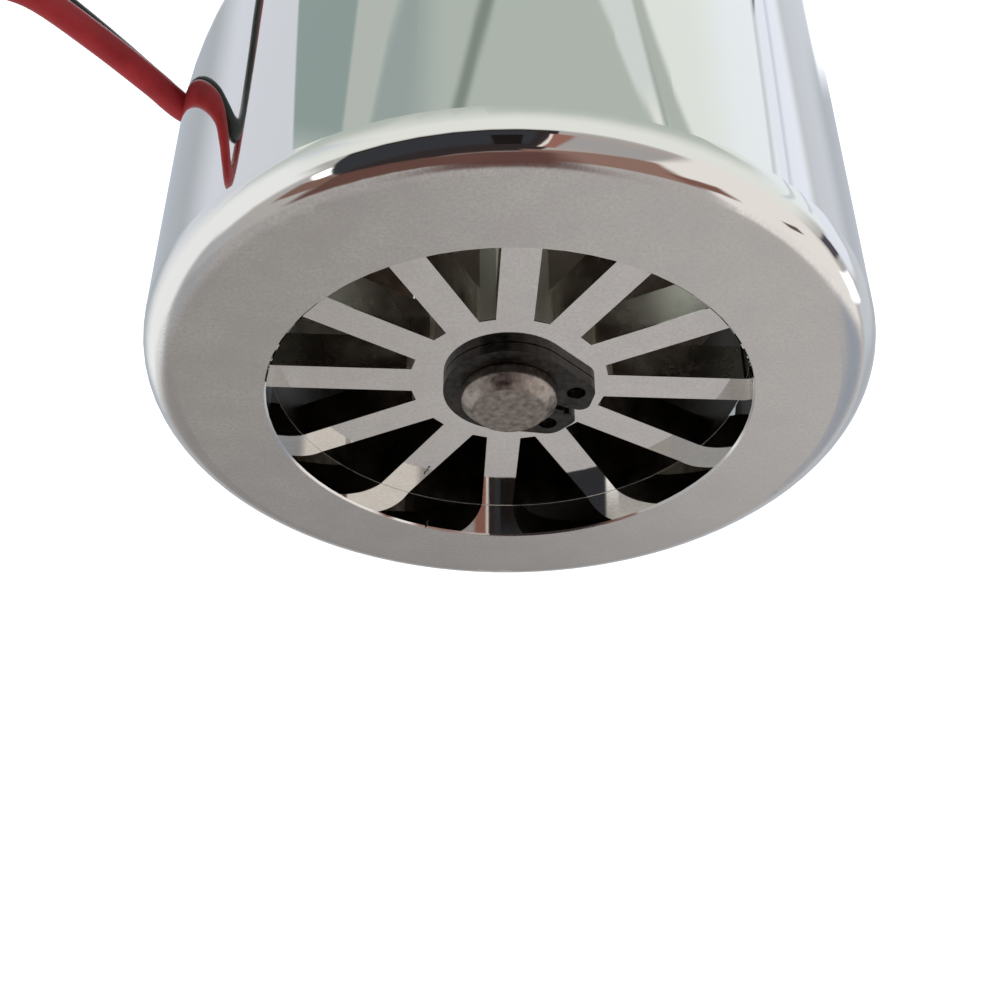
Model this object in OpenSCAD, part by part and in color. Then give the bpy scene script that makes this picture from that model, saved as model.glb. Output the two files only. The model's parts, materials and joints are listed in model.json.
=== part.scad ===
// Brushed, air-cooled spindle motor with a collet nose, hung nose down from a clamp round its body.
// The origin is the middle of the clamped stretch, on the shaft's axis. +Z points to the vented rear end.
// Most places along the axis are given as a depth, measured from the rear face towards the nose.

/* [Body tube] */
// Outside diameter of the body tube
body_d = 52; // [50:0.5:58]
// Wall thickness of the body tube
body_wall = 3; // [2.5:0.25:3.5]
// Length of the body tube
body_len = 156; // [156:1:170]
// Rounding of the rear rim
rim_r = 2.66; // [1:0.02:2.7]
// Diameter of the opening in the rear face
vent_d = 34.7; // [33:0.1:36]
// Depth of the rear lip, from the rear face to the spider
lip_t = 2.95; // [2.8:0.05:4]
// Bevel on the edge of the rear opening
lip_bevel = 0.15; // [0.05:0.05:0.4]
// Depth at which the stretch for a body clamp starts
clamp_from = 39; // [39:1:50]
// Length of the stretch for a body clamp
clamp_len = 106; // [60:1:106]

/* [Cooling windows] */
// Width of each side window
window_w = 15; // [12:0.5:20]
// Height of each side window, along the axis
window_h = 16.4; // [12:0.2:17]
// Depth at which the side windows start
window_from = 18.6; // [18.6:0.2:20]
// Corner radius of the side windows
window_corner = 3; // [1:0.5:4]
// Turn of the windows and brushes about the axis, in degrees
window_turn = -5; // [-15:1:15]

/* [Rear spider] */
// Number of spokes
spoke_n = 12; // [8:1:14]
// Width of a spoke
spoke_w = 2.6; // [2:0.1:3]
// Thickness of the spokes
spoke_t = 3; // [2:0.25:5]
// Turn of the first spoke about the axis, in degrees
spoke_turn = -3.6; // [-15:0.2:15]
// Diameter of the hub across its corners
hub_d = 14.5; // [13.5:0.1:16]
// Length of the hub
hub_len = 13; // [12:0.5:14]
// Length of the spider's outer ring
spider_ring_len = 9; // [5:0.5:12]

/* [Shaft] */
// Diameter of the rear journal
journal_d = 7; // [6:0.1:7.2]
// Depth of the shaft's rear end below the rear face
shaft_end_in = 0.4; // [0:0.1:1]
// Bevel on the shaft's rear end
shaft_bevel = 0.85; // [0.3:0.05:1]
// Diameter where the armature sits
core_seat_d = 10; // [9:0.5:11]
// Diameter of the collar behind the collet
collar_d = 16; // [15:0.5:17]

/* [Rear bush] */
// Outside diameter of the plain rear bush
bush_d = 11; // [10:0.1:11.4]
// Length of the plain rear bush
bush_len = 11; // [8:0.5:11.5]

/* [Retaining rings] */
// Thickness of the rear retaining ring
clip_t = 0.8; // [0.6:0.05:0.9]
// Depth of the groove for it in the shaft
clip_groove = 0.3; // [0.2:0.05:0.4]
// Radial width of the ring
clip_w = 1.6; // [1.2:0.05:1.8]
// Radius of the ring's lugs, where the pliers go
lug_r = 1.4; // [1.1:0.05:1.5]
// Angle from the ring's gap to the middle of each lug, in degrees
lug_turn = 26; // [22:1:32]
// Direction of the rear ring's gap, in degrees
clip_turn = 152; // [0:1:359]

/* [Armature] */
// Gap between the armature core and the magnets
air_gap = 0.68; // [0.5:0.02:1.4]
// Number of winding slots
slot_n = 12; // [8:1:14]
// Width of a core tooth
tooth_w = 3.4; // [2.8:0.1:3.6]
// Outside diameter of the commutator
comm_d = 20; // [19:0.2:21]
// Length of the commutator's bars
comm_len = 14; // [12:0.5:14]

/* [Magnets] */
// Thickness of the field magnets
magnet_t = 3.5; // [3:0.05:3.6]
// Arc of each field magnet, in degrees
magnet_arc = 128; // [100:2:140]

/* [Brush gear] */
// Width of a brush
brush_w = 6.4; // [5:0.1:7]
// Height of a brush, along the axis
brush_h = 8; // [6:0.1:8]
// Length of a brush
brush_len = 5; // [4:0.25:5.5]
// Wall of a brush holder
holder_wall = 0.75; // [0.6:0.05:0.9]
// Thickness of the brush ring
ring_t = 2; // [1.5:0.1:2]

/* [Fan] */
// Gap between the fan's tips and the body tube
fan_gap = 2.5; // [1.5:0.25:4]
// Room between the fan and the front bell
fan_room = 8.35; // [6:0.05:12]
// Length of the fan
fan_h = 11; // [9:0.5:12]
// Number of fan blades
blade_n = 9; // [6:1:12]
// Thickness of a fan blade
blade_t = 0.9; // [0.7:0.1:1.2]

/* [Front bell] */
// Thickness of the front flange
flange_t = 8; // [7:0.5:10]
// Outside diameter of the bearing housing
nose_d = 36; // [35.5:0.5:37]
// Length of the nose in front of the flange
nose_len = 10; // [10:0.5:14]
// Number of air slots in the flange
air_slot_n = 6; // [3:1:6]
// Width of an air slot
air_slot_w = 2.6; // [1.6:0.1:2.6]

/* [Front bearings] */
// Bore of the two front bearings
bearing_bore = 12; // [11.5:0.5:13]
// Outside diameter of the front bearings
bearing_od = 28; // [27:0.5:28]
// Width of a front bearing
bearing_w = 8; // [7:0.5:8.5]
// Diameter of a bearing ball
ball_d = 4.76; // [4:0.02:4.8]
// Number of balls in a bearing
ball_n = 8; // [6:1:9]

/* [Collet and nut] */
// Diameter of the nose thread
thread_d = 14; // [13.5:0.1:14.5]
// Length of the nose thread
thread_len = 15; // [12:0.5:16]
// Bore of the collet
collet_bore = 3.175; // [3:0.025:5]
// Largest diameter of the collet
collet_d = 11.5; // [11.2:0.05:11.6]
// Length of the collet
collet_len = 18; // [16:0.5:19]
// Half angle of the collet's taper, in degrees
taper_angle = 8; // [7:0.5:8.5]
// Number of slits cut from each end of the collet
slit_n = 4; // [3:1:5]
// Width of a collet slit
slit_w = 0.4; // [0.3:0.05:0.5]
// Direction of the collet's first slit, in degrees
slit_turn = 20; // [0:1:44]
// Width across the flats of the nut
nut_af = 17; // [17:0.5:19]
// Length of the nut
nut_len = 11.5; // [11:0.5:12]

/* [Leads] */
// Diameter of a lead over its insulation
lead_d = 2.3; // [2:0.05:2.4]
// Diameter of the bared and tinned end of a lead
tip_d = 1.2; // [0.8:0.1:1.4]
// Length of the bared end of a lead
tip_len = 8; // [5:0.5:10]
// Depth at which the leads leave the body
lead_depth = 31.9; // [31:0.1:33]

/* [Hidden] */
$fn = 64;

// Clearance of a seat that is pressed or glued
seat = 0.02;
// Clearance between a turning part and its seat
run = 0.03;
// Clearance between a turning face and the face beside it
face_play = 0.05;

body_r = body_d / 2;
bore_r = body_r - body_wall;
vent_r = vent_d / 2;
rear_z = clamp_from + clamp_len / 2;

hub_r = hub_d / 2;
spoke_half = asin(spoke_w / 2 / hub_r);
hub_to = lip_t + hub_len;
bush_from = hub_to - bush_len;
journal_r = journal_d / 2;
hub_hole_r = journal_r + 0.6;

clip_to = lip_t - face_play;
clip_from = clip_to - clip_t;
washer_from = hub_to + face_play;
washer_to = washer_from + 0.8;
comm_seat_r = journal_r + 0.5;
comm_r = comm_d / 2;
comm_from = hub_to + 7;
comm_to = comm_from + comm_len;
riser_r = comm_r + 1.5;
riser_to = comm_to + 1.6;
comm_hub_to = riser_to + 0.4;
bar_n = 12;
bar_gap = 3;

bearing_in = 14;
spacer_len = 12;
spigot_len = 12;
spigot_wall = 1.9;
screw_in = 5;
bearing1_from = body_len - bearing_in;
bearing2_from = bearing1_from + bearing_w + spacer_len;
bell_back = bearing1_from - 2.5;
fan_to = bell_back - fan_room;
fan_from = fan_to - fan_h;
fan_disc_t = 1.2;
fan_r = bore_r - fan_gap;

magnet_r = bore_r - seat;
magnet_over = 2;
magnet_clip_t = 0.8;
core_r = magnet_r - magnet_t - air_gap;
core_seat_r = core_seat_d / 2;
head_len = 6.6;
insulator_t = 0.5;
core_from = comm_hub_to + 1 + head_len;
core_to = fan_from - 3 - head_len;
core_len = core_to - core_from;
slot_depth = 6.4;
slot_out_r = core_r - 1.4;
slot_in_r = slot_out_r - slot_depth;
head_in_r = slot_in_r - 0.6;
head_out_r = slot_out_r - 0.2;

brush_mid = comm_from + comm_len / 2;
brush_from_r = comm_r + face_play;
holder_play = 0.05;
holder_in_w = brush_w + 2 * holder_play;
holder_in_h = brush_h + 2 * holder_play;
holder_w = holder_in_w + 2 * holder_wall;
holder_h = holder_in_h + 2 * holder_wall;
holder_from_r = comm_r + 1.6;
holder_to_r = bore_r - 2.6;
foot_t = 1;
foot_w = holder_w + 6;
ring_from = brush_mid + holder_h / 2;
ring_to = ring_from + ring_t;
ring_in_r = comm_r + 3;
rivet_r = 0.8;
rivet_at = holder_w / 2 + 1.5;
spring_wire_r = 0.3;
spring_r = 2.2;
spring_from_r = brush_from_r + brush_len + spring_wire_r + seat;
spring_to_r = holder_to_r - holder_wall - spring_wire_r - seat;

bearing_r = bearing_od / 2;
bearing_seat_r = bearing_bore / 2;
ball_r = ball_d / 2;
pitch_r = (bearing_r + bearing_seat_r) / 2;
outer_race_r = pitch_r + ball_r * 0.67;
inner_race_r = pitch_r - ball_r * 0.67;
collar_from = bearing2_from + bearing_w;
flange_to = body_len + flange_t;
nose_r = nose_d / 2;
nose_to = flange_to + nose_len;
cap_t = 3.5;
cap_to = nose_to + cap_t;
wave_h = 1.4;
spigot_from = body_len - spigot_len;
screw_depth = body_len - screw_in;
bell_screw_r = 1.25;
bell_screw_head_r = 2.8;
bell_screw_head_t = 1.3;
bell_screw_sunk = 0.2;
cap_screw_n = 4;
cap_screw_r = (bearing_r + nose_r) / 2;
cap_screw_len = 6;
cap_screw_shank_r = 1;
cap_screw_head_r = 1.9;
cap_screw_head_t = 0.9;
cap_screw_sunk = 0.2;
spigot_in_r = bore_r - seat - spigot_wall;
air_slot_r = (nose_r + spigot_in_r) / 2;
air_slot_arc = 36;

collar_r = collar_d / 2;
collar_len = 11.5;
collar_to = cap_to + collar_len;
thread_r = thread_d / 2;
thread_to = collar_to + thread_len;
collet_r = collet_d / 2;
collet_to = thread_to + 3.4;
collet_from = collet_to - collet_len;
shank_room = 14;
taper_to = thread_to + 0.3;
taper_in_r = collet_r - tan(taper_angle) * (taper_to - collet_from);
groove_r = collet_r - 1.05;
groove_from = taper_to + 0.6;
groove_to = groove_from + 1;
head_r = groove_r + 0.5;
nut_to = thread_to + 3.5;
nut_from = nut_to - nut_len;

lead_r = lead_d / 2;
lead_offset = 0.9;
lead_hole_r = lead_r + 0.05;
grommet_hole_r = 4;
grommet_flange_r = 5.2;
post_to_r = bore_r - 4;
post_t = 2.5;
post_side = 3.1;
post_from = lead_depth - lead_offset - 1.5;
link_t = 0.6;
link_in_r = post_to_r - 2;
link_w = 1.4;
// Angle of free edge between a link strip and what it runs up to
link_play = 0.3;

// The route of the red lead, from its terminal to its bared end
red_route = [
    [19.1, -0.9, 61], [23, -0.9, 61], [26, -0.9, 61], [27.2, -1.4, 61], [28.1, -2.5, 61],
    [29.2, -4, 60.9], [32.6, -7.9, 60.5], [36.3, -11.6, 60.1], [39, -13.3, 60.3], [42, -14.6, 60.4],
    [44.8, -15.7, 59.9], [47.2, -16.5, 57.9], [48.6, -16.9, 54.4], [49.1, -17.2, 48.6],
    [49.2, -17.4, 42.6], [49.2, -17.5, 37.6], [49.2, -17.5, 31.4], [49.2, -17.6, 25.1],
    [49.2, -17.7, 18.9], [49.2, -17.8, 12.6], [49.1, -18, 6.4], [49.1, -18.1, 0.2], [49.1, -18.3, -6.1],
    [49, -18.5, -12.3], [49, -18.8, -18.5], [49, -19, -24.8], [48.9, -19.2, -31], [48.9, -19.4, -37.3],
    [48.9, -19.7, -43.5], [48.8, -19.9, -49.7], [48.8, -20.1, -56], [48.8, -20.2, -62.2],
    [48.7, -20.4, -68.4], [48.7, -20.5, -74.7], [48.7, -20.6, -80.9], [48.7, -20.7, -87.2],
    [48.7, -20.7, -93.4],
];
// The route of the black lead
black_route = [
    [19.1, 0.9, 59.2], [23, 0.9, 59.2], [26.2, 0.9, 59.2], [27.6, 0.4, 59.2], [28.7, -0.8, 59.1],
    [29.9, -2.5, 59], [33.1, -6.5, 58.5], [36.4, -10.2, 58], [39.6, -13, 57.4], [42.6, -15.3, 56.3],
    [44.9, -16.8, 54.1], [46.2, -17.4, 50.6], [46.7, -17.4, 46.4], [46.7, -17.3, 41.2], [46.6, -17, 35.2],
    [46.6, -17, 29.2], [46.5, -16.9, 23.2], [46.3, -16.9, 17.2], [46.1, -16.8, 11.2], [45.9, -16.6, 5.2],
    [45.6, -16.5, -0.8], [45.3, -16.4, -6.8], [45, -16.2, -12.8], [44.7, -16, -18.8],
    [44.3, -15.8, -24.8], [44, -15.7, -30.8], [43.6, -15.5, -36.8], [43.3, -15.3, -42.8],
    [43, -15.1, -48.8], [42.7, -15, -54.8], [42.4, -14.9, -60.8], [42.2, -14.7, -66.8],
    [42, -14.6, -72.8], [41.8, -14.6, -78.8], [41.7, -14.5, -84.8], [41.7, -14.5, -90.8],
];

// Height of a depth that is measured from the rear face
function zs(depth) = rear_z - depth;

function unit(v) = v / norm(v);

function heading(route, i) =
    unit(route[min(i + 1, len(route) - 1)] - route[max(i - 1, 0)]);

function ring_of(centre, along, r, sides) =
    let(side = unit(cross(along, [0, 1, 0])), up = cross(side, along))
    [for (k = [0:sides - 1]) centre + r * (cos(360 * k / sides) * side + sin(360 * k / sides) * up)];

// A tube whose rings stand on the route's own points
module swept_tube(route, r, sides = 8) {
    rings = len(route);
    points = [for (i = [0:rings - 1]) each ring_of(route[i], heading(route, i), r, sides)];
    walls = [
        for (i = [0:rings - 2]) for (k = [0:sides - 1])
            let(next = (k + 1) % sides)
            [i * sides + k, i * sides + next, (i + 1) * sides + next, (i + 1) * sides + k]
    ];
    start = [for (k = [0:sides - 1]) sides - 1 - k];
    end = [for (k = [0:sides - 1]) (rings - 1) * sides + k];
    polyhedron(points = points, faces = concat(walls, [start], [end]), convexity = 10);
}

// A disc between two depths
module slab(from, to, r) {
    translate([0, 0, zs(to)]) cylinder(h = to - from, r = r);
}

// A tube between two depths
module tube(from, to, r_out, r_in) {
    difference() {
        slab(from, to, r_out);
        slab(from - 1, to + 1, r_in);
    }
}

// A cone between two depths
module taper(from, to, r_from, r_to) {
    translate([0, 0, zs(to)]) cylinder(h = to - from, r1 = r_to, r2 = r_from);
}

// A block across the axis: from one radius to another, w wide, between two depths
module radial_block(r_from, r_to, w, from, to, turn = 0) {
    rotate([0, 0, turn])
        translate([r_from, -w / 2, zs(to)])
            cube([r_to - r_from, w, to - from]);
}

// A round pin or hole across the axis at a depth
module radial_pin(r_from, r_to, r, depth, turn = 0, side = 0) {
    rotate([0, 0, turn])
        translate([r_from, side, zs(depth)])
            rotate([0, 90, 0])
                cylinder(h = r_to - r_from, r = r);
}

// A piece of a tube that covers an angle, starting at a direction
module arc_tube(from, to, r_out, r_in, start, angle) {
    rotate([0, 0, start])
        translate([0, 0, zs(to)])
            rotate_extrude(angle = angle)
                translate([r_in, 0])
                    square([r_out - r_in, to - from]);
}

module rounded_rectangle(w, h, r) {
    square([w - 2 * r, h], center = true);
    square([w, h - 2 * r], center = true);
    for (x = [-1, 1])
        for (y = [-1, 1])
            translate([x * (w / 2 - r), y * (h / 2 - r)])
                circle(r = r);
}

// An external retaining ring with two lugs; its gap is on the X axis
module retaining_ring(groove, width, lug, hole, lug_at, lug_angle, gap) {
    difference() {
        union() {
            circle(r = groove + width);
            for (side = [-1, 1])
                hull() {
                    rotate(side * lug_angle)
                        translate([lug_at, 0])
                            circle(r = lug, $fn = 28);
                    rotate(side * 0.46 * lug_angle)
                        translate([lug_at + 0.4 * lug, 0])
                            circle(r = 0.55 * lug, $fn = 20);
                    rotate(side * 2.7 * lug_angle)
                        translate([groove + width - 0.5, 0])
                            circle(r = 0.5, $fn = 16);
                }
        }
        circle(r = groove);
        translate([0, -gap / 2]) square([lug_at + 2 * lug, gap]);
        for (side = [-1, 1])
            rotate(side * lug_angle) translate([lug_at, 0]) circle(r = hole, $fn = 20);
    }
}

// The body tube, with its lip, rounded rim, two side windows and the lead hole
module housing() {
    shoulder_r = body_r - rim_r;
    color("lightgray")
        difference() {
            translate([0, 0, rear_z])
                rotate_extrude() {
                    difference() {
                        translate([vent_r, -lip_t]) square([shoulder_r - vent_r, lip_t]);
                        translate([vent_r, 0]) rotate(45) square(lip_bevel * sqrt(2), center = true);
                    }
                    translate([shoulder_r, -lip_t]) square([rim_r, lip_t - rim_r]);
                    intersection() {
                        translate([shoulder_r, -rim_r]) circle(r = rim_r);
                        translate([shoulder_r, -rim_r]) square(rim_r);
                    }
                    translate([bore_r, -body_len]) square([body_wall, body_len - lip_t]);
                }
            for (side = [0, 180])
                rotate([0, 0, window_turn + side])
                    translate([0, body_r + 2, zs(window_from + window_h / 2)])
                        rotate([90, 0, 0])
                            linear_extrude(body_wall + 8)
                                rounded_rectangle(window_w, window_h, window_corner);
            radial_pin(bore_r - 3, body_r + 3, grommet_hole_r + seat, lead_depth);
            for (turn = [30, 150, 270]) {
                radial_pin(bore_r - 3, body_r + 3, 1.6, screw_depth, turn);
                rotate([0, 0, turn])
                    translate([body_r - 1.6, 0, zs(screw_depth)])
                        rotate([0, 90, 0])
                            cylinder(h = 3.2, r1 = 1.6, r2 = 4.8);
            }
        }
}

// One gap between two spokes, as a flat outline
module gap_outline(turn) {
    step = 360 / spoke_n;
    corner_a = hub_r * [cos(turn + spoke_half), sin(turn + spoke_half)];
    corner_b = hub_r * [cos(turn + step - spoke_half), sin(turn + step - spoke_half)];
    polygon([
        corner_a,
        corner_a + vent_r * [cos(turn), sin(turn)],
        corner_b + vent_r * [cos(turn + step), sin(turn + step)],
        corner_b,
    ]);
}

// The cast rear end: twelve spokes in a ring, with a long hub for the rear bush
module rear_spider() {
    step = 360 / spoke_n;
    color("silver")
        difference() {
            union() {
                tube(lip_t, lip_t + spider_ring_len, bore_r - seat, vent_r);
                difference() {
                    slab(lip_t, lip_t + spoke_t, vent_r + 1);
                    for (k = [0:spoke_n - 1])
                        intersection() {
                            slab(lip_t - 1, lip_t + spoke_t + 1, vent_r);
                            translate([0, 0, zs(lip_t + spoke_t + 1)])
                                linear_extrude(spoke_t + 2)
                                    gap_outline(spoke_turn + k * step);
                        }
                }
                translate([0, 0, zs(hub_to)])
                    linear_extrude(hub_len)
                        polygon([
                            for (k = [0:spoke_n - 1])
                                for (side = [-1, 1])
                                    let(turn = spoke_turn + k * step + side * spoke_half)
                                    hub_r * [cos(turn), sin(turn)]
                        ]);
            }
            slab(lip_t - 1, bush_from + 1, hub_hole_r);
            slab(bush_from, hub_to + 1, bush_d / 2 + seat);
        }
}

module rear_bush() {
    color("peru") tube(bush_from + seat, hub_to, bush_d / 2, journal_r + run);
}

// The insulating ring that carries the brush gear
module brush_ring() {
    color("olive")
        difference() {
            tube(ring_from, ring_to, bore_r - seat, ring_in_r);
            radial_block(bore_r - 2.6, bore_r + 1, 2 * grommet_flange_r + 0.6, ring_from - 1, ring_to + 1);
            for (turn = [90, 270])
                for (side = [-1, 1])
                    rotate([0, 0, window_turn + turn])
                        translate([holder_to_r - 3, side * rivet_at, zs(ring_to + 1)])
                            cylinder(h = ring_t + 2, r = rivet_r + seat);
        }
}

// Two brass boxes with feet, one for each brush
module brush_holders() {
    color("goldenrod")
        for (turn = [90, 270])
            difference() {
                union() {
                    radial_block(
                        holder_from_r, holder_to_r, holder_w,
                        brush_mid - holder_h / 2, brush_mid + holder_h / 2, window_turn + turn
                    );
                    radial_block(
                        holder_from_r + 2, holder_to_r, foot_w,
                        ring_from - foot_t, ring_from, window_turn + turn
                    );
                }
                radial_block(
                    holder_from_r - 1, holder_to_r - holder_wall, holder_in_w,
                    brush_mid - holder_in_h / 2, brush_mid + holder_in_h / 2, window_turn + turn
                );
                for (side = [-1, 1])
                    rotate([0, 0, window_turn + turn])
                        translate([holder_to_r - 3, side * rivet_at, zs(ring_from + 1)])
                            cylinder(h = foot_t + 2, r = rivet_r + seat);
            }
}

module holder_rivets() {
    color("darkgoldenrod")
        for (turn = [90, 270])
            for (side = [-1, 1])
                rotate([0, 0, window_turn + turn])
                    translate([holder_to_r - 3, side * rivet_at, 0]) {
                        slab(ring_from - foot_t, ring_to, rivet_r);
                        slab(ring_from - foot_t - 0.7, ring_from - foot_t, rivet_r * 1.7);
                        slab(ring_to, ring_to + 0.6, rivet_r * 1.7);
                    }
}

// A carbon brush, hollowed to the commutator at its inner end
module brush(turn) {
    color("dimgray")
        difference() {
            radial_block(
                comm_r - 1, brush_from_r + brush_len, brush_w,
                brush_mid - brush_h / 2, brush_mid + brush_h / 2, turn
            );
            slab(brush_mid - brush_h, brush_mid + brush_h, brush_from_r);
        }
}

module brush_a() {
    brush(window_turn + 90);
}

module brush_b() {
    brush(window_turn + 270);
}

// A coil spring behind a brush, with its axis across the shaft
module brush_spring(turn) {
    turns = 3;
    per_turn = 14;
    wire_sides = 6;
    steps = turns * per_turn;
    spin = 360 / per_turn;
    travel = spring_to_r - spring_from_r;
    points = [
        for (i = [0:steps]) for (k = [0:wire_sides - 1])
            let(
                a = i * spin,
                b = 360 * k / wire_sides,
                reach = spring_r + spring_wire_r * cos(b)
            )
            [spring_from_r + travel * i / steps + spring_wire_r * sin(b), reach * cos(a), reach * sin(a)]
    ];
    walls = [
        for (i = [0:steps - 1]) for (k = [0:wire_sides - 1])
            let(next = (k + 1) % wire_sides)
            [
                i * wire_sides + k, (i + 1) * wire_sides + k,
                (i + 1) * wire_sides + next, i * wire_sides + next,
            ]
    ];
    start = [for (k = [0:wire_sides - 1]) k];
    end = [for (k = [0:wire_sides - 1]) steps * wire_sides + wire_sides - 1 - k];
    color("lightsteelblue")
        rotate([0, 0, turn])
            translate([0, 0, zs(brush_mid)])
                polyhedron(points = points, faces = concat(walls, [start], [end]), convexity = 10);
}

module brush_spring_a() {
    brush_spring(window_turn + 90);
}

module brush_spring_b() {
    brush_spring(window_turn + 270);
}

// The posts inside the body that the leads end on
module lead_terminals() {
    color("gold")
        for (side = [-1, 1])
            translate([post_to_r - post_t, side > 0 ? post_side - 2.8 : -post_side, zs(ring_from)])
                cube([post_t, 2.8, ring_from - post_from]);
}

// The strips on the brush ring that join each post to its brush holder
module brush_links() {
    post_edge = asin(post_side / link_in_r) + link_play;
    foot_edge = asin(foot_w / 2 / link_in_r) + link_play;
    color("orange")
        for (ends = [
            [post_edge, window_turn + 90 - foot_edge],
            [window_turn + 270 + foot_edge, 360 - post_edge],
        ])
            arc_tube(
                ring_from - link_t, ring_from, link_in_r + link_w, link_in_r,
                ends[0], ends[1] - ends[0]
            );
}

// The rubber plug that the leads come out of, held by a flange inside the body
module lead_grommet() {
    inner_face = sqrt(pow(bore_r, 2) - pow(grommet_flange_r, 2)) - 0.1;
    color("black")
        difference() {
            union() {
                radial_pin(inner_face - 1.2, body_r + 0.15, grommet_hole_r, lead_depth);
                radial_pin(inner_face - 1.2, inner_face, grommet_flange_r, lead_depth);
            }
            radial_pin(bore_r - 5, body_r + 5, lead_hole_r, lead_depth - lead_offset, 0, -lead_offset);
            radial_pin(bore_r - 5, body_r + 5, lead_hole_r, lead_depth + lead_offset, 0, lead_offset);
        }
}

module lead_red() {
    color("firebrick") swept_tube(red_route, lead_r);
}

module lead_black() {
    color("black") swept_tube(black_route, lead_r);
}

// The bared and tinned end of a lead, which carries on from the end of its route
module lead_tip(route) {
    color("silver")
        translate(route[len(route) - 1] - [0, 0, tip_len])
            cylinder(h = tip_len, r = tip_d / 2);
}

module lead_tip_red() {
    lead_tip(red_route);
}

module lead_tip_black() {
    lead_tip(black_route);
}

module magnet(middle) {
    color("dimgray")
        arc_tube(
            core_from - magnet_over, core_to + magnet_over, magnet_r, magnet_r - magnet_t,
            middle - magnet_arc / 2, magnet_arc
        );
}

module magnet_left() {
    magnet(180);
}

module magnet_right() {
    magnet(0);
}

// Two sprung strips that hold the magnets apart
module magnet_clips() {
    edge = 90 - magnet_arc / 2;
    color("slategray")
        for (middle = [90, 270])
            arc_tube(
                core_from, core_to, magnet_r, magnet_r - magnet_clip_t,
                middle - edge + 0.3, 2 * edge - 0.6
            );
}

// The front end: a spigot in the body tube, a flange with air slots, and the bearing housing
module front_bell() {
    color("silver")
        difference() {
            union() {
                tube(spigot_from, body_len + 1, bore_r - seat, spigot_in_r);
                slab(body_len + seat, flange_to - 1.5, body_r);
                slab(flange_to - 2, flange_to, body_r - 1.5);
                translate([0, 0, zs(flange_to - 1.5)])
                    rotate_extrude()
                        translate([body_r - 1.5, 0])
                            circle(r = 1.5);
                slab(bell_back, nose_to, nose_r);
            }
            slab(bearing1_from, nose_to + 1, bearing_r + seat);
            slab(bell_back - 1, bearing1_from + 1, bearing_r - 3.5);
            for (k = [0:air_slot_n - 1])
                rotate([0, 0, k * 360 / air_slot_n]) {
                    arc_tube(
                        body_len - 1, flange_to + 1,
                        air_slot_r + air_slot_w / 2, air_slot_r - air_slot_w / 2,
                        -air_slot_arc / 2, air_slot_arc
                    );
                    for (end = [-1, 1])
                        rotate([0, 0, end * air_slot_arc / 2])
                            translate([air_slot_r, 0, 0])
                                slab(body_len - 1, flange_to + 1, air_slot_w / 2);
                }
            for (turn = [30, 150, 270])
                radial_pin(spigot_in_r - 1, body_r, bell_screw_r + seat, screw_depth, turn);
            for (k = [0:cap_screw_n - 1])
                rotate([0, 0, 45 + k * 360 / cap_screw_n])
                    translate([cap_screw_r, 0, 0])
                        slab(nose_to - cap_screw_len - 1, nose_to + 1, cap_screw_shank_r + seat);
        }
}

// Three countersunk screws through the body tube into the spigot
module bell_screws() {
    color("darkgray")
        for (turn = [30, 150, 270])
            difference() {
                union() {
                    radial_pin(
                        bore_r - spigot_wall - 0.6, body_r - bell_screw_sunk, bell_screw_r, screw_depth, turn
                    );
                    rotate([0, 0, turn])
                        translate([body_r - bell_screw_sunk - bell_screw_head_t, 0, zs(screw_depth)])
                            rotate([0, 90, 0])
                                cylinder(
                                    h = bell_screw_head_t, r1 = bell_screw_r + 0.25, r2 = bell_screw_head_r
                                );
                }
                radial_pin(body_r - 1, body_r + 1, 0.9, screw_depth, turn, $fn = 6);
            }
}

module at_bearings() {
    for (from = [bearing1_from, bearing2_from])
        translate([0, 0, zs(from + bearing_w / 2)])
            children();
}

module ball_track() {
    rotate_extrude() translate([pitch_r, 0]) circle(r = ball_r + 0.06);
}

module bearing_outer_rings() {
    color("silver")
        at_bearings()
            difference() {
                cylinder(h = bearing_w, r = bearing_r, center = true);
                cylinder(h = bearing_w + 1, r = outer_race_r, center = true);
                ball_track();
            }
}

module bearing_inner_rings() {
    color("silver")
        at_bearings()
            difference() {
                cylinder(h = bearing_w, r = inner_race_r, center = true);
                cylinder(h = bearing_w + 1, r = bearing_seat_r, center = true);
                ball_track();
            }
}

module bearing_balls() {
    color("white")
        at_bearings()
            for (k = [0:ball_n - 1])
                rotate([0, 0, k * 360 / ball_n])
                    translate([pitch_r, 0, 0])
                        sphere(r = ball_r, $fn = 32);
}

module bearing_cages() {
    color("peru")
        at_bearings()
            difference() {
                cylinder(h = 2 * ball_r + 1, r = pitch_r + 0.5, center = true);
                cylinder(h = 2 * ball_r + 2, r = pitch_r - 0.5, center = true);
                for (k = [0:ball_n - 1])
                    rotate([0, 0, k * 360 / ball_n])
                        translate([pitch_r - 2, 0, 0])
                            rotate([0, 90, 0])
                                cylinder(h = 4, r = ball_r + 0.04);
            }
}

// Thin steel shields, two in each bearing, that close it against dust
module bearing_shields() {
    shield_z = bearing_w / 2 - 0.5;
    color("gray")
        at_bearings()
            for (z = [-shield_z, shield_z])
                translate([0, 0, z])
                    difference() {
                        cylinder(h = 0.3, r = outer_race_r - seat, center = true);
                        cylinder(h = 1, r = inner_race_r + 0.15, center = true);
                    }
}

module outer_spacer() {
    color("gray") tube(bearing1_from + bearing_w, bearing2_from, bearing_r - seat, bearing_r - 1.8);
}

module inner_spacer() {
    color("gray")
        tube(bearing1_from + bearing_w, bearing2_from, bearing_seat_r + 1.6, bearing_seat_r + seat);
}

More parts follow.
